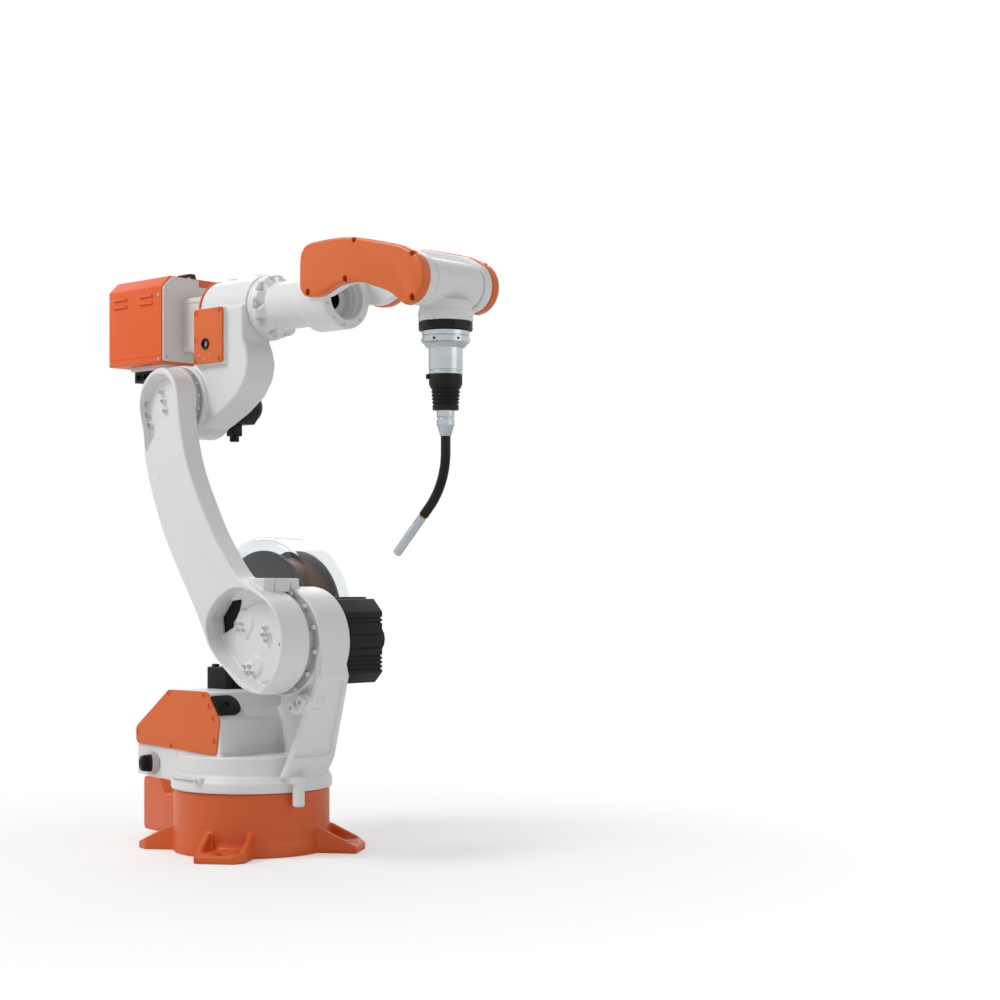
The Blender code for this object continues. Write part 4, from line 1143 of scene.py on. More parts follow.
    def cable_plate(self) -> None:
        """Add the black plate on the body's nose, where cables could pass."""
        low, high = Vector((self.front, 0.0, self.nose)), Vector((self.deck_front, 0.0, self.deck))
        up = (high - low).normalized()
        side = Vector((0.0, 1.0, 0.0))
        out = side.cross(up)
        matrix = Matrix((side, up, out)).transposed().to_4x4()
        matrix = Matrix.Translation(low) @ matrix
        outline = rounded([(-0.1365, 0.010, 0.002), (-0.072, 0.010, 0.022),
                           (-0.072, 0.057, 0.022), (-0.1365, 0.057, 0.002)])
        plate = prism(outline, SEAT, 0.0055, Axis.Z, 0.0, 0.0012)
        hole = disc(0.0040, 0.0030, 0.020, Axis.Z, (-0.107, 0.034, 0.0), SMALL)
        ring = turned([(0.0052, 0.004), (0.0072, 0.004), (0.0072, 0.0066), (0.0052, 0.0066)],
                      Axis.Z, (-0.107, 0.034, 0.0), SMALL, True)
        shape = carved(plate, [ring], [hole])
        self.put("nose_cable_plate", placed(shape, matrix), NYLON_BLACK, Body.TURRET,
                 "black_plastic")


@dataclass
class ServoMotor(SubAssembly):
    """A finned servo motor: an outline with grooves, pushed along its axis."""

    def finned(self, outline: list[tuple[float, float]], grooves: list[float], reach: float,
               low: float, high: float, centre: Vector, width: float = 0.0032,
               depth: float = 0.004) -> Shape:
        """A motor along +Y with grooves down both of its sides.

        Args:
            outline: Its end view as (x, z) about its axis.
            grooves: The heights of the grooves.
            reach: Half the width across the grooved sides.
            low: Where it begins on the axis.
            high: Where it ends.
            centre: Its axis.
            width: The width of a groove.
            depth: The depth of a groove.

        Returns:
            The closed shape.
        """
        shape = prism(rounded([(x, z, 0.003) for x, z in outline], 4), low, high, Axis.Y, 0.0015,
                      0.0015)
        cutters = []
        for side in (-1.0, 1.0):
            near, away = sorted((side * (reach - depth), side * (reach + PAST)))
            cutters += [block((near, low - PAST, level), (away, high + PAST, level + width))
                        for level in grooves]
        return placed(carved(shape, cuts=[gathered(cutters)]), Matrix.Translation(centre))

    def build(self) -> None:
        """Add the motors of joints 1, 2 and 3."""
        outline = [(-0.072, -0.060), (-0.044, -0.090), (0.050, -0.090), (0.072, -0.068),
                   (0.072, 0.060), (0.046, 0.087), (-0.044, 0.087), (-0.072, 0.060)]
        grooves = [0.010, 0.036, 0.045, -0.062, -0.053, -0.044, -0.035, -0.018]
        axis = Vector((J2.x, 0.0, J2.z))
        body = self.finned(outline, grooves, 0.072, 0.0223, 0.1533, axis, 0.0040, 0.0055)
        ridge = block((J2.x - 0.030, 0.060, J2.z + 0.085), (J2.x + 0.026, 0.150, J2.z + 0.091),
                      0.0015)
        self.put("j2_motor_finished", carved(body, [ridge]), MOTOR_BLACK, Body.TURRET,
                 "black_motor", "j2_motor")
        encoder = turned([(0.0, 0.1536), (0.046, 0.1536), (0.046, 0.170), (0.042, 0.172),
                          (0.042, 0.176), (0.038, 0.178), (0.038, 0.190), (0.033, 0.194),
                          (0.033, 0.199), (0.029, 0.202), (0.0, 0.202)], Axis.Y, axis, 16)
        self.put("j2_encoder_finished", encoder, NYLON_BLACK, Body.TURRET, "black_motor",
                 "j2_encoder")
        half = 0.040
        outline = [(-half, -half + 0.010), (-half + 0.010, -half), (half - 0.010, -half),
                   (half, -half + 0.010), (half, half - 0.010), (half - 0.010, half),
                   (-half + 0.010, half), (-half, half - 0.010)]
        upright = self.finned(outline, [-0.026, -0.017, -0.008, 0.006, 0.015, 0.024], half, 0.0,
                              0.046, Vector((0.0, 0.0, 0.0)), 0.0035, 0.0045)
        turn = Matrix.Translation((-0.070, 0.0, 0.3403)) @ Matrix.Rotation(math.radians(90.0), 4,
                                                                           "X")
        upright = carved(upright, [disc(0.008, 0.044, 0.052, Axis.Y, (-0.024, 0.0, 0.022), SMALL,
                                        0.0015)])
        self.put("j1_motor_finished", placed(upright, turn), MOTOR_BLACK, Body.TURRET,
                 "black_motor", "j1_motor")
        self.elbow_motor()

    def elbow_motor(self) -> None:
        """Add the motor of joint 3 with its round end and its plug."""
        half = 0.040
        outline = [(-half, -half + 0.010), (-half + 0.010, -half), (half - 0.010, -half),
                   (half, -half + 0.010), (half, half - 0.010), (half - 0.010, half),
                   (-half + 0.010, half), (-half, half - 0.010)]
        body = self.finned(outline, [-0.018, -0.008, 0.006, 0.016], half, 0.0003, 0.092, J3)
        end = turned([(0.0, 0.080), (0.036, 0.080), (0.036, 0.104), (0.030, 0.114),
                      (0.026, 0.1183), (0.0, 0.1183)], Axis.Y, J3, MEDIUM)
        plug = block((J3.x - 0.013, 0.046, J3.z - 0.066),
                     (J3.x + 0.013, 0.072, J3.z - 0.020), 0.003)
        tail = disc(0.0105, J3.z - 0.078, J3.z - 0.060, Axis.Z, (J3.x, 0.059, 0.0), SMALL, 0.0015)
        self.put("j3_motor_finished", carved(body, [end, plug, tail]), MOTOR_BLACK, Body.ELBOW,
                 "black_motor", "j3_motor")


@dataclass
class WireReelUnit(SubAssembly):
    """The spool of welding wire in its clear drum beside the turret."""

    x: float = -0.160
    z: float = 0.490
    near: float = 0.162
    far: float = 0.280
    radius: float = 0.180
    wall: float = 0.003
    hole: float = 0.028
    bend: float = 0.014

    def build(self) -> None:
        """Add the clear drum, the spool with its wire, and the bracket."""
        centre = (self.x, 0.0, self.z)
        rim, inside = self.radius - self.bend, self.bend - self.wall
        outer = [(self.hole, self.near), *arc((rim, self.near + self.bend), self.bend, -90.0, 0.0),
                 *arc((rim, self.far - self.bend), self.bend, 0.0, 90.0), (self.hole, self.far)]
        inner = [(self.hole, self.far - self.wall),
                 *arc((rim, self.far - self.bend), inside, 90.0, 0.0),
                 *arc((rim, self.near + self.bend), inside, 0.0, -90.0),
                 (self.hole, self.near + self.wall)]
        self.put("reel_cover_finished", turned(outer + inner, Axis.Y, centre, LARGE, True), CLEAR,
                 Body.TURRET, "clear_plastic", "reel_cover")
        self.spool(centre)
        half = 0.045
        arm = prism(rounded([(self.x - half, 0.258, 0.006), (self.x - half, self.z + half, 0.020),
                             (self.x + half, self.z + half, 0.020),
                             (self.x + half, 0.258, 0.006)]), 0.1537, 0.1617, Axis.Y, 0.0015,
                    0.0)
        shaft = disc(0.025, 0.158, self.far + 0.008, Axis.Y, centre, MEDIUM, 0.002)
        lug = block((self.x - half, 0.1411, 0.258), (self.x + half, 0.160, 0.266), 0.001)
        self.put("reel_bracket_finished", carved(arm, [shaft, lug]), SHEET_WHITE, Body.TURRET,
                 "white_paint", "reel_bracket")

    def spool(self, centre: tuple[float, float, float]) -> None:
        """Add the black spool and the copper coated wire on it."""
        near, far = self.near + 0.009, self.far - 0.009
        rim = 0.005
        profile = [(0.0262, near), (0.050, near), (0.056, near + 0.0015), (0.138, near + 0.0015),
                   (0.142, near), (0.150, near), (0.150, near + rim), (0.118, near + rim),
                   (0.118, far - rim), (0.150, far - rim), (0.150, far), (0.142, far),
                   (0.138, far - 0.0015), (0.056, far - 0.0015), (0.050, far), (0.0262, far)]
        holes = []
        for index in range(6):
            angle = math.radians(60.0 * index)
            holes.append(disc(0.016, near - PAST, far + PAST, Axis.Y,
                              (self.x + 0.086 * math.cos(angle), 0.0,
                               self.z + 0.086 * math.sin(angle)), SMALL))
        spool = carved(turned(profile, Axis.Y, centre, LARGE, True), cuts=[gathered(holes)])
        self.put("wire_reel_finished", spool, SPOOL_BLACK, Body.REEL, "black_plastic",
                 "wire_reel")
        turns = []
        count = 24
        run = far - near - 2.0 * rim - 0.0012
        for index in range(count):
            level = near + rim + 0.0006 + run * index / count
            turns += [(0.1310, level), (0.1322, level + run * 0.25 / count),
                      (0.1322, level + run * 0.75 / count)]
        profile = [(0.1184, near + rim + 0.0006), *turns, (0.1310, far - rim - 0.0006),
                   (0.1184, far - rim - 0.0006)]
        self.put("wound_wire", turned(profile, Axis.Y, centre, LARGE, True), COPPER_WIRE,
                 Body.REEL, "black_plastic")


@dataclass
class LowerArm(SubAssembly):
    """The bowed lower arm with its two pockets, in the frame of joint 2."""

    near: float = -0.160
    far: float = -0.110
    disc_far: float = -0.085
    shoulder: float = 0.107
    floor: float = -0.119
    rim: float = 0.0065
    ring_radius: float = 0.074
    front_shares: tuple[tuple[float, float], ...] = (
        (0.143, 0.114), (0.104, 0.169), (0.071, 0.221), (0.051, 0.293), (0.032, 0.405),
        (0.027, 0.520), (0.032, 0.675), (0.056, 0.790), (0.088, 0.880), (0.118, 0.956),
        (0.121, 1.020), (0.090, 1.078), (0.025, 1.099), (-0.042, 1.083), (-0.092, 1.031))
    rear_shares: tuple[tuple[float, float], ...] = (
        (-0.120, 0.937), (-0.163, 0.829), (-0.190, 0.686), (-0.202, 0.547), (-0.197, 0.405),
        (-0.186, 0.242), (-0.187, 0.140), (-0.184, 0.070), (-0.148, -0.030), (-0.106, -0.118))
    pocket_shares: tuple[tuple[float, float], ...] = (
        (0.093, 0.157), (0.032, 0.198), (-0.031, 0.208), (-0.098, 0.200), (-0.153, 0.170),
        (-0.174, 0.119), (-0.171, 0.053), (-0.136, -0.028))
    elbow_pocket_shares: tuple[tuple[float, float], ...] = (
        (0.105, 0.985), (0.100, 1.030), (0.066, 1.068), (0.020, 1.082), (-0.042, 1.066),
        (-0.085, 1.020), (-0.110, 0.935), (-0.136, 0.865), (-0.088, 0.885), (-0.017, 0.895),
        (0.048, 0.920), (0.088, 0.955))
    window_shares: tuple[tuple[float, float], ...] = (
        (-0.017, 0.183), (-0.088, 0.119), (-0.172, 0.126), (-0.149, 0.183), (-0.076, 0.207))

    def scaled(self, shares: tuple[tuple[float, float], ...]) -> list[tuple[float, float]]:
        """The points of a table of shares of the link."""
        return [(u * LINK, v * LINK) for u, v in shares]

    def outline(self) -> Outline:
        """The side view of the casting, from the bottom of the shoulder forwards."""
        shoulder = arc((0.0, 0.0), self.shoulder, -104.0, 30.0, 14)
        return flowing([*shoulder, *self.scaled(self.front_shares + self.rear_shares)], 5)

    def shoulder_pocket(self) -> Outline:
        """The outline of the deep pocket at the shoulder."""
        wall = arc((0.0, 0.0), self.shoulder - self.rim, -104.0, 32.0, 14)
        return flowing([*wall, *self.scaled(self.pocket_shares)], 5)

    def window(self) -> Outline:
        """The outline of the window in the floor of that pocket."""
        return rounded([(u, v, 0.004) for u, v in self.scaled(self.window_shares)], 5)

    def stop_block(self, low: float, high: float, grow: float) -> Shape:
        """The stop block between two distances along Y, in the frame of joint 2."""
        seat = self.shoulder + grow
        outline = arc((0.0, 0.0), seat, 73.7, 105.0, 12) + [Vector((-0.026, 0.131)),
                                                             Vector((0.030, 0.131))]
        block_shape = prism(outline, low, high, Axis.Y, 0.0015, 0.0015)
        return placed(block_shape, Matrix.Rotation(-LEAN, 4, "Y"))

    def build(self) -> None:
        """Add the casting, its ring, its stop block and its bolts."""
        arm = prism(self.outline(), self.near, self.far, Axis.Y, 0.003, 0.006)
        shoulder = disc(self.shoulder, self.far - 0.010, self.disc_far, Axis.Y, edge=0.002)
        elbow = turned([(0.0, self.near + 0.020), (0.062, self.near + 0.020),
                        (self.ring_radius, self.far + 0.001), (self.ring_radius, -0.105),
                        (0.0, -0.105)], Axis.Y, (0.0, 0.0, LINK))
        land = self.stop_block(-0.139, self.far, -0.010)
        pocket = prism(self.shoulder_pocket(), self.near - PAST, self.floor, Axis.Y)
        window = prism(self.window(), self.floor - 0.022, -0.080, Axis.Y)
        shallow = prism(flowing(self.scaled(self.elbow_pocket_shares), 6), self.near - PAST,
                        self.near + 0.020, Axis.Y)
        shape = carved(arm, [shoulder, elbow, land], [pocket, shallow])
        shape = carved(shape, [self.floor_disc()])
        slot = prism(rounded([(0.0775, -0.030, 0.0024), (0.0830, -0.030, 0.0024),
                              (0.0830, 0.010, 0.0024), (0.0775, 0.010, 0.0024)], 4),
                     self.floor - 0.004, self.floor + 0.006, Axis.Y)
        hole = disc(0.0034, self.floor - 0.008, self.floor + 0.006, Axis.Y, (0.042, 0.0, -0.060),
                    SMALL)
        shape = carved(shape, self.pads(), [window, slot, hole])
        casting = placed(as_cast(shape, 0.0020, 3, 0.45), ARM_FRAME)
        self.put("lower_arm_casting_finished", casting, CAST_WHITE, Body.LOWER_ARM,
                 "white_paint", "lower_arm_casting", crisp=False)
        # A black cover plate closes the window from the far side and is a little larger than it;
        # its black is painted shade that darkens the opening.
        grown = [(u, v, 0.004) for u, v in self.scaled(self.window_shares)]
        plate = prism(shrunk(rounded(grown, 5), -0.003), self.far + SEAT, self.far + 0.0023, Axis.Y)
        self.put("shoulder_window_shade_plate", placed(plate, ARM_FRAME), NYLON_BLACK, Body.LOWER_ARM,
                 "black_plastic")
        self.fasteners()
        self.ring_and_stop()

    def floor_disc(self) -> Shape:
        """The low round step on the floor of the shoulder pocket."""
        return disc(0.0805, self.floor - 0.0030, self.floor + 0.002, Axis.Y)

    def pads(self) -> list[Shape]:
        """The raised pads beside the clusters of bolts."""
        level = self.floor - 0.003
        shapes = []
        for x, z, spin, width, height in ((-0.026, 0.058, 28.0, 0.050, 0.050),
                                          (-0.043, -0.034, 10.0, 0.046, 0.038)):
            half, rise = width / 2.0, height / 2.0
            pad = prism(rounded([(-half, -rise, 0.010), (half, -rise, 0.014), (half, rise, 0.014),
                                 (-half, rise, 0.010)]), level - 0.0035, level + 0.002, Axis.Y,
                        0.001)
            turn = Matrix.Translation((x, 0.0, z)) @ Matrix.Rotation(math.radians(-spin), 4, "Y")
            shapes.append(placed(pad, turn))
        for x, z in self.bolt_places():
            shapes.append(disc(0.0062, level - 0.0065, level + 0.002, Axis.Y, (x, 0.0, z), SMALL,
                               0.0008))
        return shapes

    def bolt_places(self) -> list[tuple[float, float]]:
        """The bolts on the floor of the shoulder pocket as (x, z)."""
        places = []
        for x, z, spin in ((-0.0353, 0.0574, 28.0), (0.0247, 0.0063, -20.0),
                           (-0.0573, -0.030, 35.0)):
            turn = Matrix.Rotation(math.radians(spin), 2)
            for du, dv in ((0.000, 0.0125), (-0.0075, 0.000), (0.0075, -0.002), (0.0, -0.0135)):
                shift = turn @ Vector((du, dv))
                places.append((x + shift.x, z + shift.y))
        return places

    def fasteners(self) -> None:
        """Add the bolts in both pockets."""
        level = self.floor - 0.0095
        places = [ARM_FRAME @ facing((x, level, z), (0.0, -1.0, 0.0))
                  for x, z in self.bolt_places()]
        places.append(ARM_FRAME @ facing((0.050, self.floor - 0.003, -0.032), (0.0, -1.0, 0.0)))
        self.screws("shoulder_bolts", places, ZINC, Body.LOWER_ARM, "satin_steel", 0.0046,
                    0.0026)
        level = self.near + 0.020
        spots = [(-0.046, 0.610), (-0.053, 0.588), (-0.057, 0.565), (0.010, 0.605),
                 (0.005, 0.585), (0.000, 0.563)]
        bosses = [disc(0.0068, level - 0.004, level + 0.001, Axis.Y, (x, 0.0, z), SMALL, 0.0012)
                  for x, z in spots]
        self.put("elbow_bolt_bosses", placed(gathered(bosses), ARM_FRAME), CAST_WHITE,
                 Body.LOWER_ARM, "white_paint")
        places = [ARM_FRAME @ facing((x, level - 0.004, z), (0.0, -1.0, 0.0)) for x, z in spots]
        self.screws("elbow_bolts", places, ZINC, Body.LOWER_ARM, "satin_steel", 0.0052,
                    0.0035)
        spot = ARM_FRAME @ facing((-0.071, self.near, 0.438), (0.0, -1.0, 0.0))
        self.screws("arm_plug", [spot], CAST_WHITE, Body.LOWER_ARM, "white_paint", 0.0028, 0.0010)

    def ring_and_stop(self) -> None:
        """Add the grooved ring at the elbow and the stop block on the shoulder."""
        near, far = -0.105 + SEAT, -0.0900
        radius = self.ring_radius
        ring = turned([(0.0, near), (radius, near), (radius, near + 0.003),
                       (radius - 0.005, near + 0.0035), (radius - 0.005, far - 0.003),
                       (radius - 0.0005, far - 0.0025), (radius - 0.0005, far), (0.0, far)],
                      Axis.Y, (0.0, 0.0, LINK))
        self.put("elbow_ring_finished", placed(ring, ARM_FRAME), FLANGE_GREY, Body.LOWER_ARM,
                 "white_paint", "elbow_ring")
        places = []
        for index in range(16):
            angle = math.radians(22.5 * index)
            out = Vector((math.cos(angle), 0.0, math.sin(angle)))
            place = out * (radius - 0.0052) + Vector((0.0, -0.0972, LINK))
            places.append(ARM_FRAME @ facing(place, out))
        self.screws("elbow_ring_screws", places, CAST_WHITE, Body.LOWER_ARM, "white_paint",
                    0.0032, 0.0035)
        stop = self.stop_block(self.far + SEAT, -0.070, SEAT)
        self.put("stop_block_finished", placed(stop, ARM_FRAME), CAST_WHITE, Body.LOWER_ARM,
                 "white_paint", "j2_stop_block")


@dataclass
class Elbow(SubAssembly):
    """The elbow casting between joints 3 and 4, with its orange cover."""

    face: float = 0.060
    rear: float = -0.090
    boss: float = 0.078
    web_near: float = -0.078
    far: float = 0.000
    housing: float = 0.068
    front_shares: tuple[tuple[float, float], ...] = (
        (0.359, -0.265), (0.632, -0.136), (0.890, 0.029), (1.019, 0.199), (1.060, 0.369),
        (1.019, 0.524), (0.967, 0.620))
    cover_near: float = -0.0888
    cover_far: float = -0.0853

    def build(self) -> None:
        """Add the casting, the cover with its port, and the rim behind the housing."""
        corners = [(J3.x, J3.z - self.boss, 0.0)]
        corners += [(J3.x + u * ELBOW_RISE, J3.z + v * ELBOW_RISE, 0.030)
                    for u, v in self.front_shares]
        corners += [(self.face, J3.z + 0.131, 0.0), (self.face, J4.z, 0.0),
                    (self.rear, J4.z, 0.0), (self.rear, J3.z + 0.087, 0.040),
                    (J3.x - self.boss, J3.z, 0.0)]
        web = prism(rounded(corners), self.web_near, self.far, Axis.Y, 0.006, 0.006)
        boss = disc(self.boss, -0.0897, self.far, Axis.Y, J3, edge=0.003)
        tube = disc(self.housing, self.rear, self.face, Axis.X, (0.0, 0.0, J4.z), edge=0.004)
        collar = disc(self.housing + 0.0015, self.face - 0.012, self.face, Axis.X,
                      (0.0, 0.0, J4.z), edge=0.002)
        pad = prism(rounded([(-0.0875, 1.0315, 0.006), (-0.0875, 1.1515, 0.006),
                             (0.0095, 1.1515, 0.006), (0.0095, 1.0315, 0.006)]), -0.085, -0.060,
                    Axis.Y, 0.0015)
        lugs = [block((x - 0.008, -0.010, J4.z + 0.060), (x + 0.008, 0.010, J4.z + 0.0735), 0.003)
                for x in (-0.060, 0.026)]
        shape = carved(web, [boss, tube, collar, pad, *lugs])
        self.put("elbow_casting_finished", as_cast(shape, 0.0021, 4, 0.45), CAST_WHITE,
                 Body.ELBOW, "white_paint", "elbow_casting", crisp=False)
        self.cover()
        rim = disc(self.housing + 0.0015, self.rear - 0.0043, self.rear - SEAT, Axis.X,
                   (0.0, 0.0, J4.z), edge=0.001)
        self.put("elbow_rear_rim", rim, COVER_ORANGE, Body.ELBOW, "orange_paint")

    def cover(self) -> None:
        """Add the orange cover, its screws and the cable port in it."""
        plate = prism(rounded([(-0.086, 1.033, 0.006), (-0.086, 1.150, 0.006),
                               (0.008, 1.150, 0.006), (0.008, 1.033, 0.006)]), self.cover_near,
                      self.cover_far, Axis.Y, 0.0012)
        port = (-0.047, 0.0, 1.075)
        spots = [(-0.078, 1.141), (-0.001, 1.143), (-0.080, 1.083), (-0.002, 1.041),
                 (-0.080, 1.040)]
        small = [(-0.068, 1.0506), (-0.032, 1.052), (-0.050, 1.0416)]
        hole = disc(0.0118, self.cover_near - PAST, self.cover_far + PAST, Axis.Y, port, MEDIUM)
        self.screwed_cover("elbow_cover", plate, spots, self.cover_near, self.cover_near + 0.002,
                           0.0056, (0.0043, 0.0022), Body.ELBOW, hole)
        places = [facing((x, self.cover_near, z), (0.0, -1.0, 0.0)) for x, z in small]
        self.screws("elbow_port_screws", places, ZINC, Body.ELBOW, "satin_steel", 0.0024, 0.0012)
        ring = turned([(0.0080, -0.0853), (0.0080, -0.0910), (0.0088, -0.0920),
                       (0.0107, -0.0920), (0.0115, -0.0912), (0.0115, -0.0853)], Axis.Y, port,
                      MEDIUM, True)
        self.put("elbow_port_finished", ring, NYLON_BLACK, Body.ELBOW, "black_plastic",
                 "elbow_port")


@dataclass
class FeederBox(SubAssembly):
    """The wire feeder behind the elbow: box, front panel, mount, rail and socket bar."""

    rear: float = -0.382
    front: float = -0.195
    half: float = 0.090
    low: float = 1.048
    high: float = 1.238
    chamfer: float = 0.024
    louvre_runs: tuple[tuple[float, float], ...] = ((-0.360, -0.316), (-0.268, -0.225))
    louvre_levels: tuple[float, ...] = (1.195, 1.179)

    def section(self, inset: float) -> Outline:
        """The end view of the box as (y, z), drawn in by an amount."""
        half, top, low = self.half - inset, self.high - inset, self.low + inset
        return rounded([(-half, low, 0.003), (half, low, 0.003), (half, top - self.chamfer, 0.004),
                        (half - self.chamfer, top, 0.004), (-half + self.chamfer, top, 0.004),
                        (-half, top - self.chamfer, 0.004)], 4)

    def build(self) -> None:
        """Add the box with its louvres, handle and screws, and what carries it."""
        shell = prism(self.section(0.0), self.rear, self.front, Axis.X, 0.002, 0.0012)
        hoods, slits = [], []
        for low, high in self.louvre_runs:
            for level in self.louvre_levels:
                hoods.append(prism([Vector((low, level - 0.0035)), Vector((high, level - 0.0035)),
                                    Vector((high - 0.002, level + 0.003)),
                                    Vector((low + 0.002, level + 0.003))],
                                   -self.half - 0.0032, -self.half + 0.002, Axis.Y, 0.0012))
                slits.append(block((low + 0.003, -self.half - 0.0045, level - 0.0042),
                                   (high - 0.003, -self.half + 0.0005, level - 0.0022)))
        seam = block((self.rear + 0.0035, -self.half - PAST, self.low + 0.0135),
                     (self.front + PAST, -self.half + 0.0008, self.low + 0.0146))
        self.put("feeder_shell_finished", carved(shell, hoods, [gathered(slits), seam]), BOX_ORANGE,
                 Body.ELBOW, "orange_paint", "feeder_shell")
        places = [facing((x, -self.half, z), (0.0, -1.0, 0.0))
                  for x in (-0.3770, -0.2050) for z in (1.194, 1.055)]
        self.screws("feeder_shell_screws", places, ZINC, Body.ELBOW, "satin_steel", 0.0034, 0.0016)
        self.panel()
        self.carriers()
        arch = [(-0.284, 1.2384, 0.0), (-0.278, 1.2560, 0.006), (-0.228, 1.2560, 0.006),
                (-0.222, 1.2384, 0.0), (-0.231, 1.2384, 0.0), (-0.235, 1.2495, 0.003),
                (-0.271, 1.2495, 0.003), (-0.275, 1.2384, 0.0)]
        handle = prism(rounded(arch, 4), 0.019, 0.031, Axis.Y, 0.0015, 0.0015)
        self.put("feeder_handle", handle, NYLON_BLACK, Body.ELBOW, "black_plastic")

    def panel(self) -> None:
        """Add the white front panel, notched at its far top corner."""
        panel = prism(self.section(0.0027), self.front + SEAT, self.front + 0.0043, Axis.X, 0.0,
                      0.001)
        notch = block((self.front - PAST, 0.010, self.high - 0.018),
                      (self.front + 0.012, self.half + PAST, self.high + PAST))
        self.put("feeder_front_panel_finished", carved(panel, cuts=[notch]), SHEET_WHITE,
                 Body.ELBOW, "white_paint", "feeder_front_panel")
        places = [facing((self.front + 0.0043, y, z), (1.0, 0.0, 0.0))
                  for y in (-0.078, 0.078) for z in (self.low + 0.012, self.high - 0.034)]
        self.screws("feeder_panel_screws", places, ZINC, Body.ELBOW, "satin_steel", 0.0036, 0.0016)

    def carriers(self) -> None:
        """Add the mount to the elbow, the rail and the socket bar under the box."""
        mount = prism(rounded([(-0.034, 1.072, 0.006), (0.034, 1.072, 0.006),
                               (0.034, 1.190, 0.006), (-0.034, 1.190, 0.006)]), -0.1904, -0.0946,
                      Axis.X, 0.001, 0.001)
        groove = gathered([block((-0.181, side * 0.034 - 0.0015, 1.083),
                                 (-0.104, side * 0.034 + 0.0015, 1.179)) for side in (-1.0, 1.0)])
        self.put("feeder_mount_finished", carved(mount, cuts=[groove]), SHEET_WHITE, Body.ELBOW,
                 "white_paint", "feeder_mount")
        rail = prism(rounded([(-0.342, -0.062, 0.003), (-0.215, -0.062, 0.003),
                              (-0.215, 0.062, 0.003), (-0.342, 0.062, 0.003)], 4), 1.0377, 1.0477,
                     Axis.Z, 0.001, 0.001)
        line = block((-0.350, -0.066, 1.0420), (-0.205, -0.0605, 1.0434))
        self.put("feeder_rail_finished", carved(rail, cuts=[line]), SHEET_WHITE, Body.ELBOW,
                 "white_paint", "feeder_rail")
        bar = prism(rounded([(-0.3405, -0.052, 0.004), (-0.235, -0.052, 0.004),
                             (-0.235, 0.052, 0.004), (-0.3405, 0.052, 0.004)], 4), 1.0134, 1.0374,
                    Axis.Z, 0.001, 0.001)
        rings, holes = [], []
        for x, radius in ((-0.323, 0.0085), (-0.298, 0.0085), (-0.262, 0.0100)):
            place = (x, 0.0, 1.0254)
            rings.append(disc(radius, -0.0545, -0.050, Axis.Y, place, SMALL, 0.0008))
            holes.append(disc(radius - 0.0025, -0.060, -0.044, Axis.Y, place, SMALL))
        self.put("feeder_socket_bar_finished", carved(bar, rings, holes), NYLON_BLACK, Body.ELBOW,
                 "black_plastic", "feeder_socket_bar")


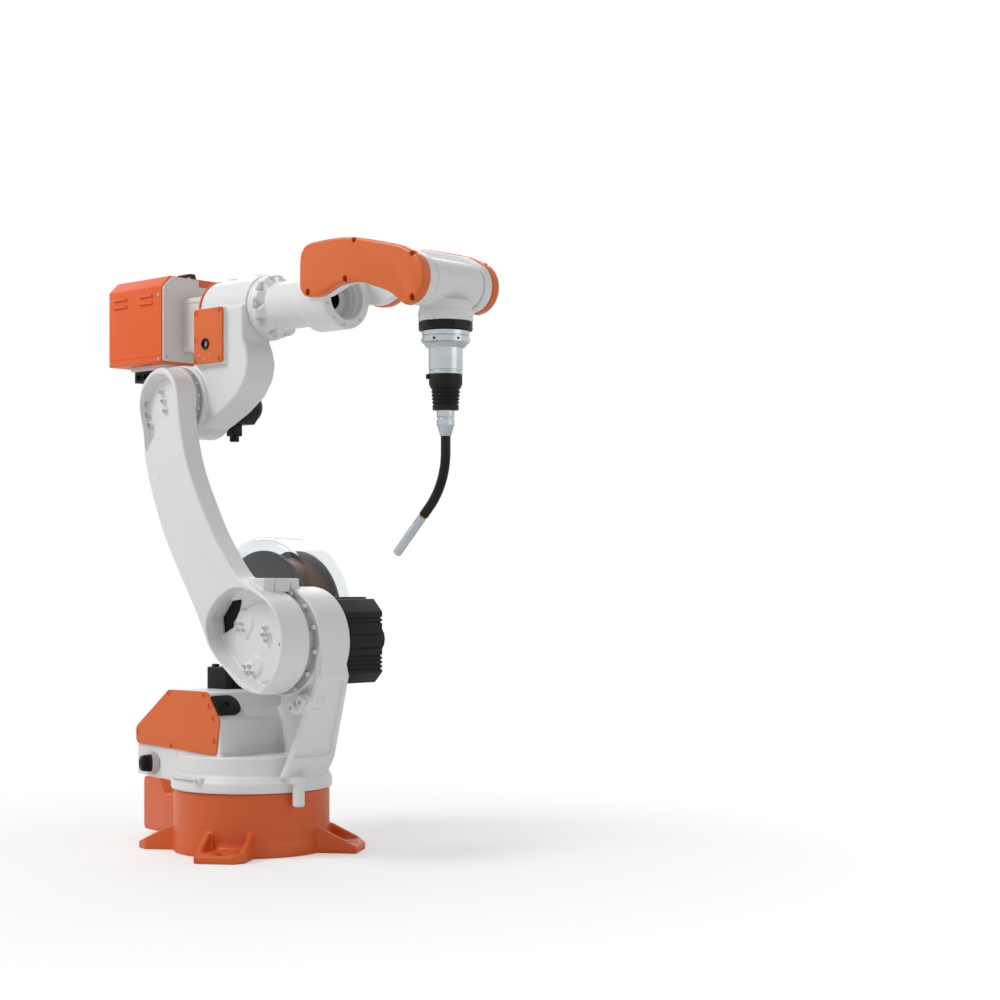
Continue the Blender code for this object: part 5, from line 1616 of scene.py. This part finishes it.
@dataclass
class Forearm(SubAssembly):
    """The hollow forearm: flanged tube, bulb with the cable cup, and the fork with covers."""

    prong_in: float = 0.066
    prong_out: float = 0.088
    cover_out: float = 0.108
    bulb: float = 0.0645
    low_shares: tuple[tuple[float, float], ...] = (
        (0.5661, 0.0211), (0.5716, 0.0043), (0.5845, -0.0100), (0.6100, -0.0165),
        (0.6486, -0.0154), (0.6864, -0.0029), (0.7243, 0.0084), (0.7737, 0.0107),
        (0.8229, 0.0048), (0.8591, -0.0082), (0.9000, -0.0215), (0.9400, -0.0395))
    top_shares: tuple[tuple[float, float], ...] = (
        (0.9800, 0.0880), (0.9310, 0.1022), (0.8471, 0.1222), (0.7859, 0.1342), (0.7243, 0.1400),
        (0.6486, 0.1401), (0.6007, 0.1359), (0.5781, 0.1212), (0.5675, 0.0932))
    head: float = 0.0505

    def outline(self) -> Outline:
        """The side view of a fork cover."""
        points = [(J3.x + u * FOREARM_REACH, J4.z + v * FOREARM_REACH) for u, v in self.low_shares]
        points += arc((J5.x - 0.005, J5.z), self.head, -96.0, 62.0, 12)
        points += [(J3.x + u * FOREARM_REACH, J4.z + v * FOREARM_REACH) for u, v in self.top_shares]
        return flowing(points, 4)

    def tube(self) -> Shape:
        """The turned part: flange, neck, and bulb with the cup and the bore for a cable."""
        profile = [(0.0, 0.0603), (0.0655, 0.0603), (0.067, 0.0618), (0.067, 0.0760),
                   (0.0655, 0.0768), (0.0655, 0.0790), (0.067, 0.0798), (0.067, 0.0885),
                   (0.0505, 0.1003), (0.0498, 0.186), (self.bulb - 0.002, 0.211),
                   (self.bulb, 0.215), (self.bulb, 0.2925), (self.bulb - 0.002, 0.2945),
                   (0.0500, 0.2945), (0.0490, 0.2965), (0.0465, 0.2965), (0.0450, 0.2950),
                   (0.0450, 0.2790), (0.0425, 0.2775), (0.0425, 0.2650), (0.0400, 0.2635),
                   (0.0400, 0.2470), (0.0380, 0.2450), (0.0210, 0.2450), (0.0210, 0.1850),
                   (0.0, 0.1850)]
        return turned(profile, Axis.X, (0.0, 0.0, J4.z), LARGE)

    def build(self) -> None:
        """Add the casting, both covers and their fittings."""
        prongs, roots = [], []
        for side in (-1.0, 1.0):
            low, high = sorted((side * self.prong_in, side * self.prong_out))
            prongs.append(prism(shrunk(self.outline(), 0.0015), low, high, Axis.Y, 0.001, 0.001))
            low, high = sorted((side * 0.050, side * (self.prong_in + 0.004)))
            roots.append(prism(rounded([(0.246, J4.z - 0.008, 0.010), (0.290, J4.z - 0.008, 0.006),
                                        (0.290, J4.z + 0.040, 0.006),
                                        (0.266, J4.z + 0.058, 0.010)]), low, high, Axis.Y))
        pockets = []
        for index in range(10):
            angle = math.radians(36.0 * index + 18.0)
            wedge = prism([Vector((-0.012, 0.0605)), Vector((0.0, 0.0500)), Vector((0.012, 0.0605)),
                           Vector((0.010, 0.0720)), Vector((-0.010, 0.0720))], 0.0800, 0.1030,
                          Axis.X)
            turn = Matrix.Translation((0.0, 0.0, J4.z)) @ Matrix.Rotation(angle, 4, "X")
            pockets.append(placed(wedge, turn))
        shape = carved(self.tube(), prongs + roots, [gathered(pockets)])
        self.put("forearm_casting_finished", as_cast(shape, 0.0019, 3, 0.4), CAST_WHITE,
                 Body.FOREARM, "white_paint", "forearm_casting", crisp=False)
        places = []
        for index in range(10):
            angle = math.radians(36.0 * index + 18.0)
            out = Vector((0.0, -math.sin(angle), math.cos(angle))) * 0.0595
            places.append(facing(out + Vector((0.0798, 0.0, J4.z)), (1.0, 0.0, 0.0)))
        self.screws("forearm_flange_screws", places, CAST_WHITE, Body.FOREARM, "white_paint",
                    0.0036, 0.0050)
        places = [facing(Vector((0.2945, math.sin(math.radians(angle)) * -0.0570,
                                 J4.z + math.cos(math.radians(angle)) * 0.0570)), (1.0, 0.0, 0.0))
                  for angle in (108.0, 140.0, 172.0, -140.0)]
        self.screws("bulb_screws", places, ZINC, Body.FOREARM, "satin_steel", 0.0034, 0.0014)
        liner = turned([(0.0, 0.1853), (0.0207, 0.1853), (0.0207, 0.2500), (0.0193, 0.2500),
                        (0.0193, 0.1890), (0.0, 0.1890)], Axis.X, (0.0, 0.0, J4.z), MEDIUM)
        self.put("bore_liner", liner, RUBBER_BLACK, Body.FOREARM, "black_rubber")
        self.covers()

    def covers(self) -> None:
        """Add the two orange fork covers with the screws in notches of their edges."""
        spots = [(0.4277, 1.2387), (0.5865, 1.1950), (0.4023, 1.1650), (0.2950, 1.1490),
                 (0.5865, 1.1115)]
        for name, side in (("near", -1.0), ("far", 1.0)):
            inner, outer = side * (self.prong_out + SEAT), side * self.cover_out
            low, high = sorted((inner, outer))
            rims = (0.006, 0.0005) if side < 0.0 else (0.0005, 0.006)
            cover = prism(self.outline(), low, high, Axis.Y, *rims)
            self.screwed_cover(f"fork_cover_{name}", cover, spots, outer,
                               side * (self.prong_out + 0.009), 0.0068, (0.0046, 0.0040),
                               Body.FOREARM)


@dataclass
class Wrist(SubAssembly):
    """The wrist casting, which tilts in the fork about joint 5."""

    disc_radius: float = 0.047
    disc_half: float = 0.050
    hub: float = 0.044
    hub_half: float = 0.0657
    housing: float = 0.054
    block_half: float = 0.040
    flat: float = 0.022

    def build(self) -> None:
        """Add the casting and its screws."""
        half, flat = self.block_half, self.flat
        corners = [(-half, -0.046), (half, -0.046), (half, flat), (flat, half), (-flat, half),
                   (-half, flat)]
        body = prism(rounded([(J5.x + x, J5.z + z, 0.003) for x, z in corners], 4), -0.045, 0.045,
                     Axis.Y, 0.003, 0.003)
        round_body = disc(self.disc_radius, -self.disc_half, self.disc_half, Axis.Y, J5, edge=0.003)
        hub = turned([(0.0, -self.hub_half), (0.040, -self.hub_half), (self.hub, -0.062),
                      (self.hub, 0.062), (0.040, self.hub_half), (0.0, self.hub_half)], Axis.Y, J5)
        housing = turned([(0.0, -0.0760), (self.housing - 0.002, -0.0760), (self.housing, -0.0740),
                          (self.housing, -0.0560), (self.housing - 0.002, -0.0545),
                          (self.housing - 0.002, -0.0500), (self.housing - 0.006, -0.0360),
                          (0.0, -0.0360)], Axis.Z, J5)
        shape = carved(body, [round_body, hub, housing])
        self.put("wrist_casting_finished", as_cast(shape, 0.0017, 3, 0.5), CAST_WHITE, Body.WRIST,
                 "white_paint", "wrist_casting", crisp=False)
        places = []
        for index in range(8):
            angle = math.radians(45.0 * index - 112.5)
            out = Vector((math.cos(angle), math.sin(angle), 0.0))
            places.append(facing(J5 + out * (self.housing - 0.0006) + Vector((0.0, 0.0, -0.0665)),
                                 out))
        self.screws("wrist_screws", places, CAST_WHITE, Body.WRIST, "white_paint", 0.0032, 0.0016)


@dataclass
class Torch(SubAssembly):
    """The welding torch that turns on joint 6: flange, collar, boot, swan neck and nozzle."""

    flange: float = 0.0525
    collar: float = 0.0465
    barrel: float = 0.0335
    bend: float = 0.150
    neck: float = 0.0095
    neck_top: float = -0.2973
    straight: float = 0.030
    tail: float = 0.022

    def build(self) -> None:
        """Add all parts of the torch from the flange to the nozzle."""
        flange = turned([(0.0, -0.0930), (self.flange - 0.0015, -0.0930), (self.flange, -0.0915),
                         (self.flange, -0.0778), (self.flange - 0.0015, -0.0763),
                         (0.0, -0.0763)], Axis.Z, J5)
        notches = [placed(disc(0.0050, -0.0870, -0.0700, Axis.Z, (self.flange + 0.0015, 0.0, 0.0),
                               SMALL), Matrix.Translation(J5)
                          @ Matrix.Rotation(math.radians(45.0 * index + 10.0), 4, "Z"))
                   for index in range(8)]
        self.put("torch_flange_finished", carved(flange, cuts=[gathered(notches)]), NYLON_BLACK,
                 Body.TORCH, "black_plastic", "torch_flange")
        self.collar_and_boot()
        self.neck_and_nozzle()

    def collar_and_boot(self) -> None:
        """Add the steel collar with its barrel, the ribbed boot and the socket."""
        low = self.collar
        collar = turned([(0.0, -0.1780), (self.barrel - 0.0015, -0.1780),
                         (self.barrel, -0.1765), (self.barrel, -0.1735),
                         (self.barrel - 0.0015, -0.1725), (self.barrel - 0.0015, -0.1700),
                         (self.barrel, -0.1690), (self.barrel, -0.1270), (0.0350, -0.1250),
                         (0.0375, -0.1250), (low - 0.004, -0.1185), (low, -0.1160),
                         (low, -0.1060), (low - 0.0012, -0.1050), (low - 0.0012, -0.1035),
                         (low, -0.1025), (low, -0.0948), (low - 0.0015, -0.0933),
                         (0.0, -0.0933)], Axis.Z, J5)
        self.put("torch_collar_finished", collar, TURNED_STEEL, Body.TORCH, "satin_steel",
                 "torch_collar")
        places = []
        for index in range(6):
            angle = math.radians(60.0 * index - 75.0)
            out = Vector((math.cos(angle), math.sin(angle), 0.0))
            places.append(facing(J5 + out * (low - 0.0004) + Vector((0.0, 0.0, -0.1110)), out))
        self.screws("torch_collar_screws", places, BLACK_OXIDE, Body.TORCH, "satin_steel",
                    0.0028, 0.0012)
        top, bottom, count = -0.1783, -0.2465, 5
        sleeve = top - 0.028
        profile = [(0.0, top), (0.0315, top), (0.0325, top - 0.001), (0.0325, top - 0.019),
                   (0.0305, top - 0.021), (0.0305, top - 0.024), (0.0285, top - 0.026)]
        pitch = (sleeve - bottom - 0.006) / count
        for index in range(count):
            level = sleeve - pitch * index
            radius = 0.0285 - 0.0030 * (index + 0.5) / count
            profile += [(radius - 0.0020, level - pitch * 0.15),
                        (radius - 0.0020, level - pitch * 0.38), (radius, level - pitch * 0.55),
                        (radius - 0.0004, level - pitch * 0.95)]
        profile += [(0.0255, bottom + 0.0055), (0.0255, bottom + 0.001), (0.0245, bottom),
                    (0.0, bottom)]
        boot = turned(profile, Axis.Z, J5)
        knob = placed(turned([(0.0, 0.0), (0.0050, 0.0), (0.0050, 0.0055), (0.0040, 0.0065),
                              (0.0, 0.0065)], steps=SMALL),
                      facing(J5 + Vector((-0.0225, -0.0225, -0.1815)), (-1.0, -1.0, 0.0)))
        self.put("torch_boot_finished", carved(boot, [knob]), RUBBER_BLACK, Body.TORCH,
                 "black_rubber", "torch_boot")
        socket = turned([(0.0, -0.2468), (0.0165, -0.2468), (0.0175, -0.2478), (0.0175, -0.2600),
                         (0.0162, -0.2610), (0.0162, -0.2640), (0.0175, -0.2650),
                         (0.0175, -0.2760), (0.0160, -0.2775), (0.0110, -0.2955),
                         (0.0105, -0.2970), (0.0, -0.2970)], Axis.Z, J5)
        self.put("torch_socket_finished", socket, TURNED_STEEL, Body.TORCH, "satin_steel",
                 "torch_socket")

    def neck_and_nozzle(self) -> None:
        """Add the bent neck, the insulator ring and the open nozzle with its contact tip."""
        start = J5 + Vector((0.0, 0.0, self.neck_top))
        knee = start + Vector((0.0, 0.0, -self.straight))
        path = [start, start + (knee - start) * 0.5, knee]
        for step in range(1, 25):
            angle = math.radians(45.0 * step / 24)
            path.append(knee + Vector((self.bend * (math.cos(angle) - 1.0), 0.0,
                                       -self.bend * math.sin(angle))))
        along = Vector((-math.sqrt(0.5), 0.0, -math.sqrt(0.5)))
        path.append(path[-1] + along * self.tail)
        self.put("swan_neck_finished", swept(path, self.neck), NYLON_BLACK, Body.TORCH,
                 "black_plastic", "swan_neck")
        end = facing(path[-1], along)
        ring = turned([(0.0, SEAT), (0.0080, SEAT), (0.0080, 0.0043), (0.0, 0.0043)], steps=MEDIUM)
        self.put("nozzle_insulator_finished", placed(ring, end), BRASS, Body.TORCH, "brass",
                 "nozzle_insulator")
        low, high = 0.0046, 0.1046
        nozzle = turned([(0.0, low), (0.0082, low), (0.0090, low + 0.0008), (0.0090, low + 0.018),
                         (0.0085, low + 0.019), (0.0085, low + 0.021), (0.0090, low + 0.022),
                         (0.0090, high - 0.004), (0.0084, high), (0.0065, high),
                         (0.0065, high - 0.020), (0.0040, high - 0.020), (0.0040, high - 0.003),
                         (0.0030, high - 0.002), (0.0009, high - 0.002), (0.0009, high - 0.006),
                         (0.0, high - 0.006)], steps=MEDIUM)
        self.put("torch_nozzle_finished", placed(nozzle, end), TURNED_STEEL, Body.TORCH,
                 "satin_steel", "torch_nozzle")


@dataclass
class Studio:
    """The floor, the lamps, the world and the camera."""

    camera_place: tuple[float, float, float] = (3.158, -2.714, 0.578)
    camera_turn: float = 42.0
    lens: float = 69.48
    shift: float = 0.078

    def build(self) -> None:
        """Make the camera, the lamps, the floor and the world."""
        scene = bpy.context.scene
        scene.view_settings.view_transform = "Standard"
        data = bpy.data.cameras.new("camera")
        data.sensor_width = 36.0
        data.lens = self.lens
        data.shift_y = self.shift
        camera = bpy.data.objects.new("camera", data)
        camera.location = self.camera_place
        camera.rotation_euler = (math.radians(90.0), 0.0, math.radians(self.camera_turn))
        scene.collection.objects.link(camera)
        scene.camera = camera
        self.lamp("key", (-1.5, -2.6, 4.2), 112.0, 1.8)
        self.lamp("fill", (3.6, 0.8, 2.2), 14.0, 2.0)
        self.lamp("back", (-2.6, 2.6, 3.4), 40.0, 2.6)
        self.floor()
        self.world()

    def lamp(self, name: str, place: tuple[float, float, float], power: float,
             size: float) -> None:
        """A square soft box aimed at the middle of the arm.

        Args:
            name: The name of the lamp.
            place: Where it hangs.
            power: Its power in watts.
            size: The side of its face.
        """
        data = bpy.data.lights.new(name, "AREA")
        data.energy = power
        data.size = size
        thing = bpy.data.objects.new(name, data)
        thing.location = place
        aim = Vector((0.1, 0.0, 0.6)) - Vector(place)
        thing.rotation_euler = aim.to_track_quat("-Z", "Y").to_euler()
        bpy.context.scene.collection.objects.link(thing)

    def floor(self) -> None:
        """A round pale floor that is white to the camera except for the soft shadow.

        Far from the arm the camera sees the floor's own light instead of its shading, so that
        no horizon shows against the white world.
        """
        shape = bmesh.new()
        bmesh.ops.create_circle(shape, cap_ends=True, radius=14.0, segments=96)
        bmesh.ops.translate(shape, verts=shape.verts, vec=(0.0, 0.0, -0.0005))
        mesh = bpy.data.meshes.new("floor")
        shape.to_mesh(mesh)
        shape.free()
        thing = bare_object("floor", mesh)
        material = bpy.data.materials.new("pale_floor")
        material.use_nodes = True
        tree = material.node_tree
        shader = tree.nodes["Principled BSDF"]
        shader.inputs["Base Color"].default_value = linear("#FCFCFC")
        shader.inputs["Roughness"].default_value = 0.9
        place = add_node(tree, "ShaderNodeTexCoord")
        away = add_node(tree, "ShaderNodeVectorMath", {"operation": "LENGTH"},
                        {0: place.outputs["Object"]})
        share = add_node(tree, "ShaderNodeMapRange", inputs={
            "Value": away.outputs["Value"], "From Min": 0.45, "From Max": 1.3, "To Min": 0.45,
            "To Max": 1.0})
        rays = add_node(tree, "ShaderNodeLightPath")
        seen = add_node(tree, "ShaderNodeMath", {"operation": "MULTIPLY"},
                        {0: share.outputs["Result"], 1: rays.outputs["Is Camera Ray"]})
        glow = add_node(tree, "ShaderNodeEmission", inputs={
            "Color": (1.0, 1.0, 1.0, 1.0), "Strength": 1.0})
        mix = add_node(tree, "ShaderNodeMixShader", inputs={
            0: seen.outputs[0], 1: shader.outputs[0], 2: glow.outputs[0]})
        tree.links.new(mix.outputs[0], tree.nodes["Material Output"].inputs["Surface"])
        mesh.materials.append(material)

    def world(self) -> None:
        """An even light from all round, and plain white where the camera or gloss sees it."""
        world = bpy.data.worlds.new("studio")
        bpy.context.scene.world = world
        world.use_nodes = True
        tree = world.node_tree
        tree.nodes.clear()
        rays = add_node(tree, "ShaderNodeLightPath")
        seen = add_node(tree, "ShaderNodeMath", {"operation": "MAXIMUM"},
                        {0: rays.outputs["Is Camera Ray"], 1: rays.outputs["Is Transmission Ray"]})
        first = add_node(tree, "ShaderNodeMath", {"operation": "MAXIMUM"},
                         {0: seen.outputs[0], 1: rays.outputs["Is Glossy Ray"]})
        dim = add_node(tree, "ShaderNodeBackground", inputs={
            "Color": (1.0, 1.0, 1.0, 1.0), "Strength": 0.38})
        white = add_node(tree, "ShaderNodeBackground", inputs={
            "Color": (1.0, 1.0, 1.0, 1.0), "Strength": 1.0})
        mix = add_node(tree, "ShaderNodeMixShader", inputs={
            0: first.outputs[0], 1: dim.outputs[0], 2: white.outputs[0]})
        add_node(tree, "ShaderNodeOutputWorld", inputs={"Surface": mix.outputs[0]})


def main() -> None:
    """Build the dressed arm and the studio."""
    logging.basicConfig(level=logging.INFO, format="%(name)s %(message)s")
    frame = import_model()
    Studio().build()
    for part in (BaseUnit(frame), Turret(frame), ServoMotor(frame), WireReelUnit(frame),
                 LowerArm(frame), Elbow(frame), FeederBox(frame), Forearm(frame),
                 Wrist(frame), Torch(frame)):
        part.build()


if __name__ == "__main__":
    main()
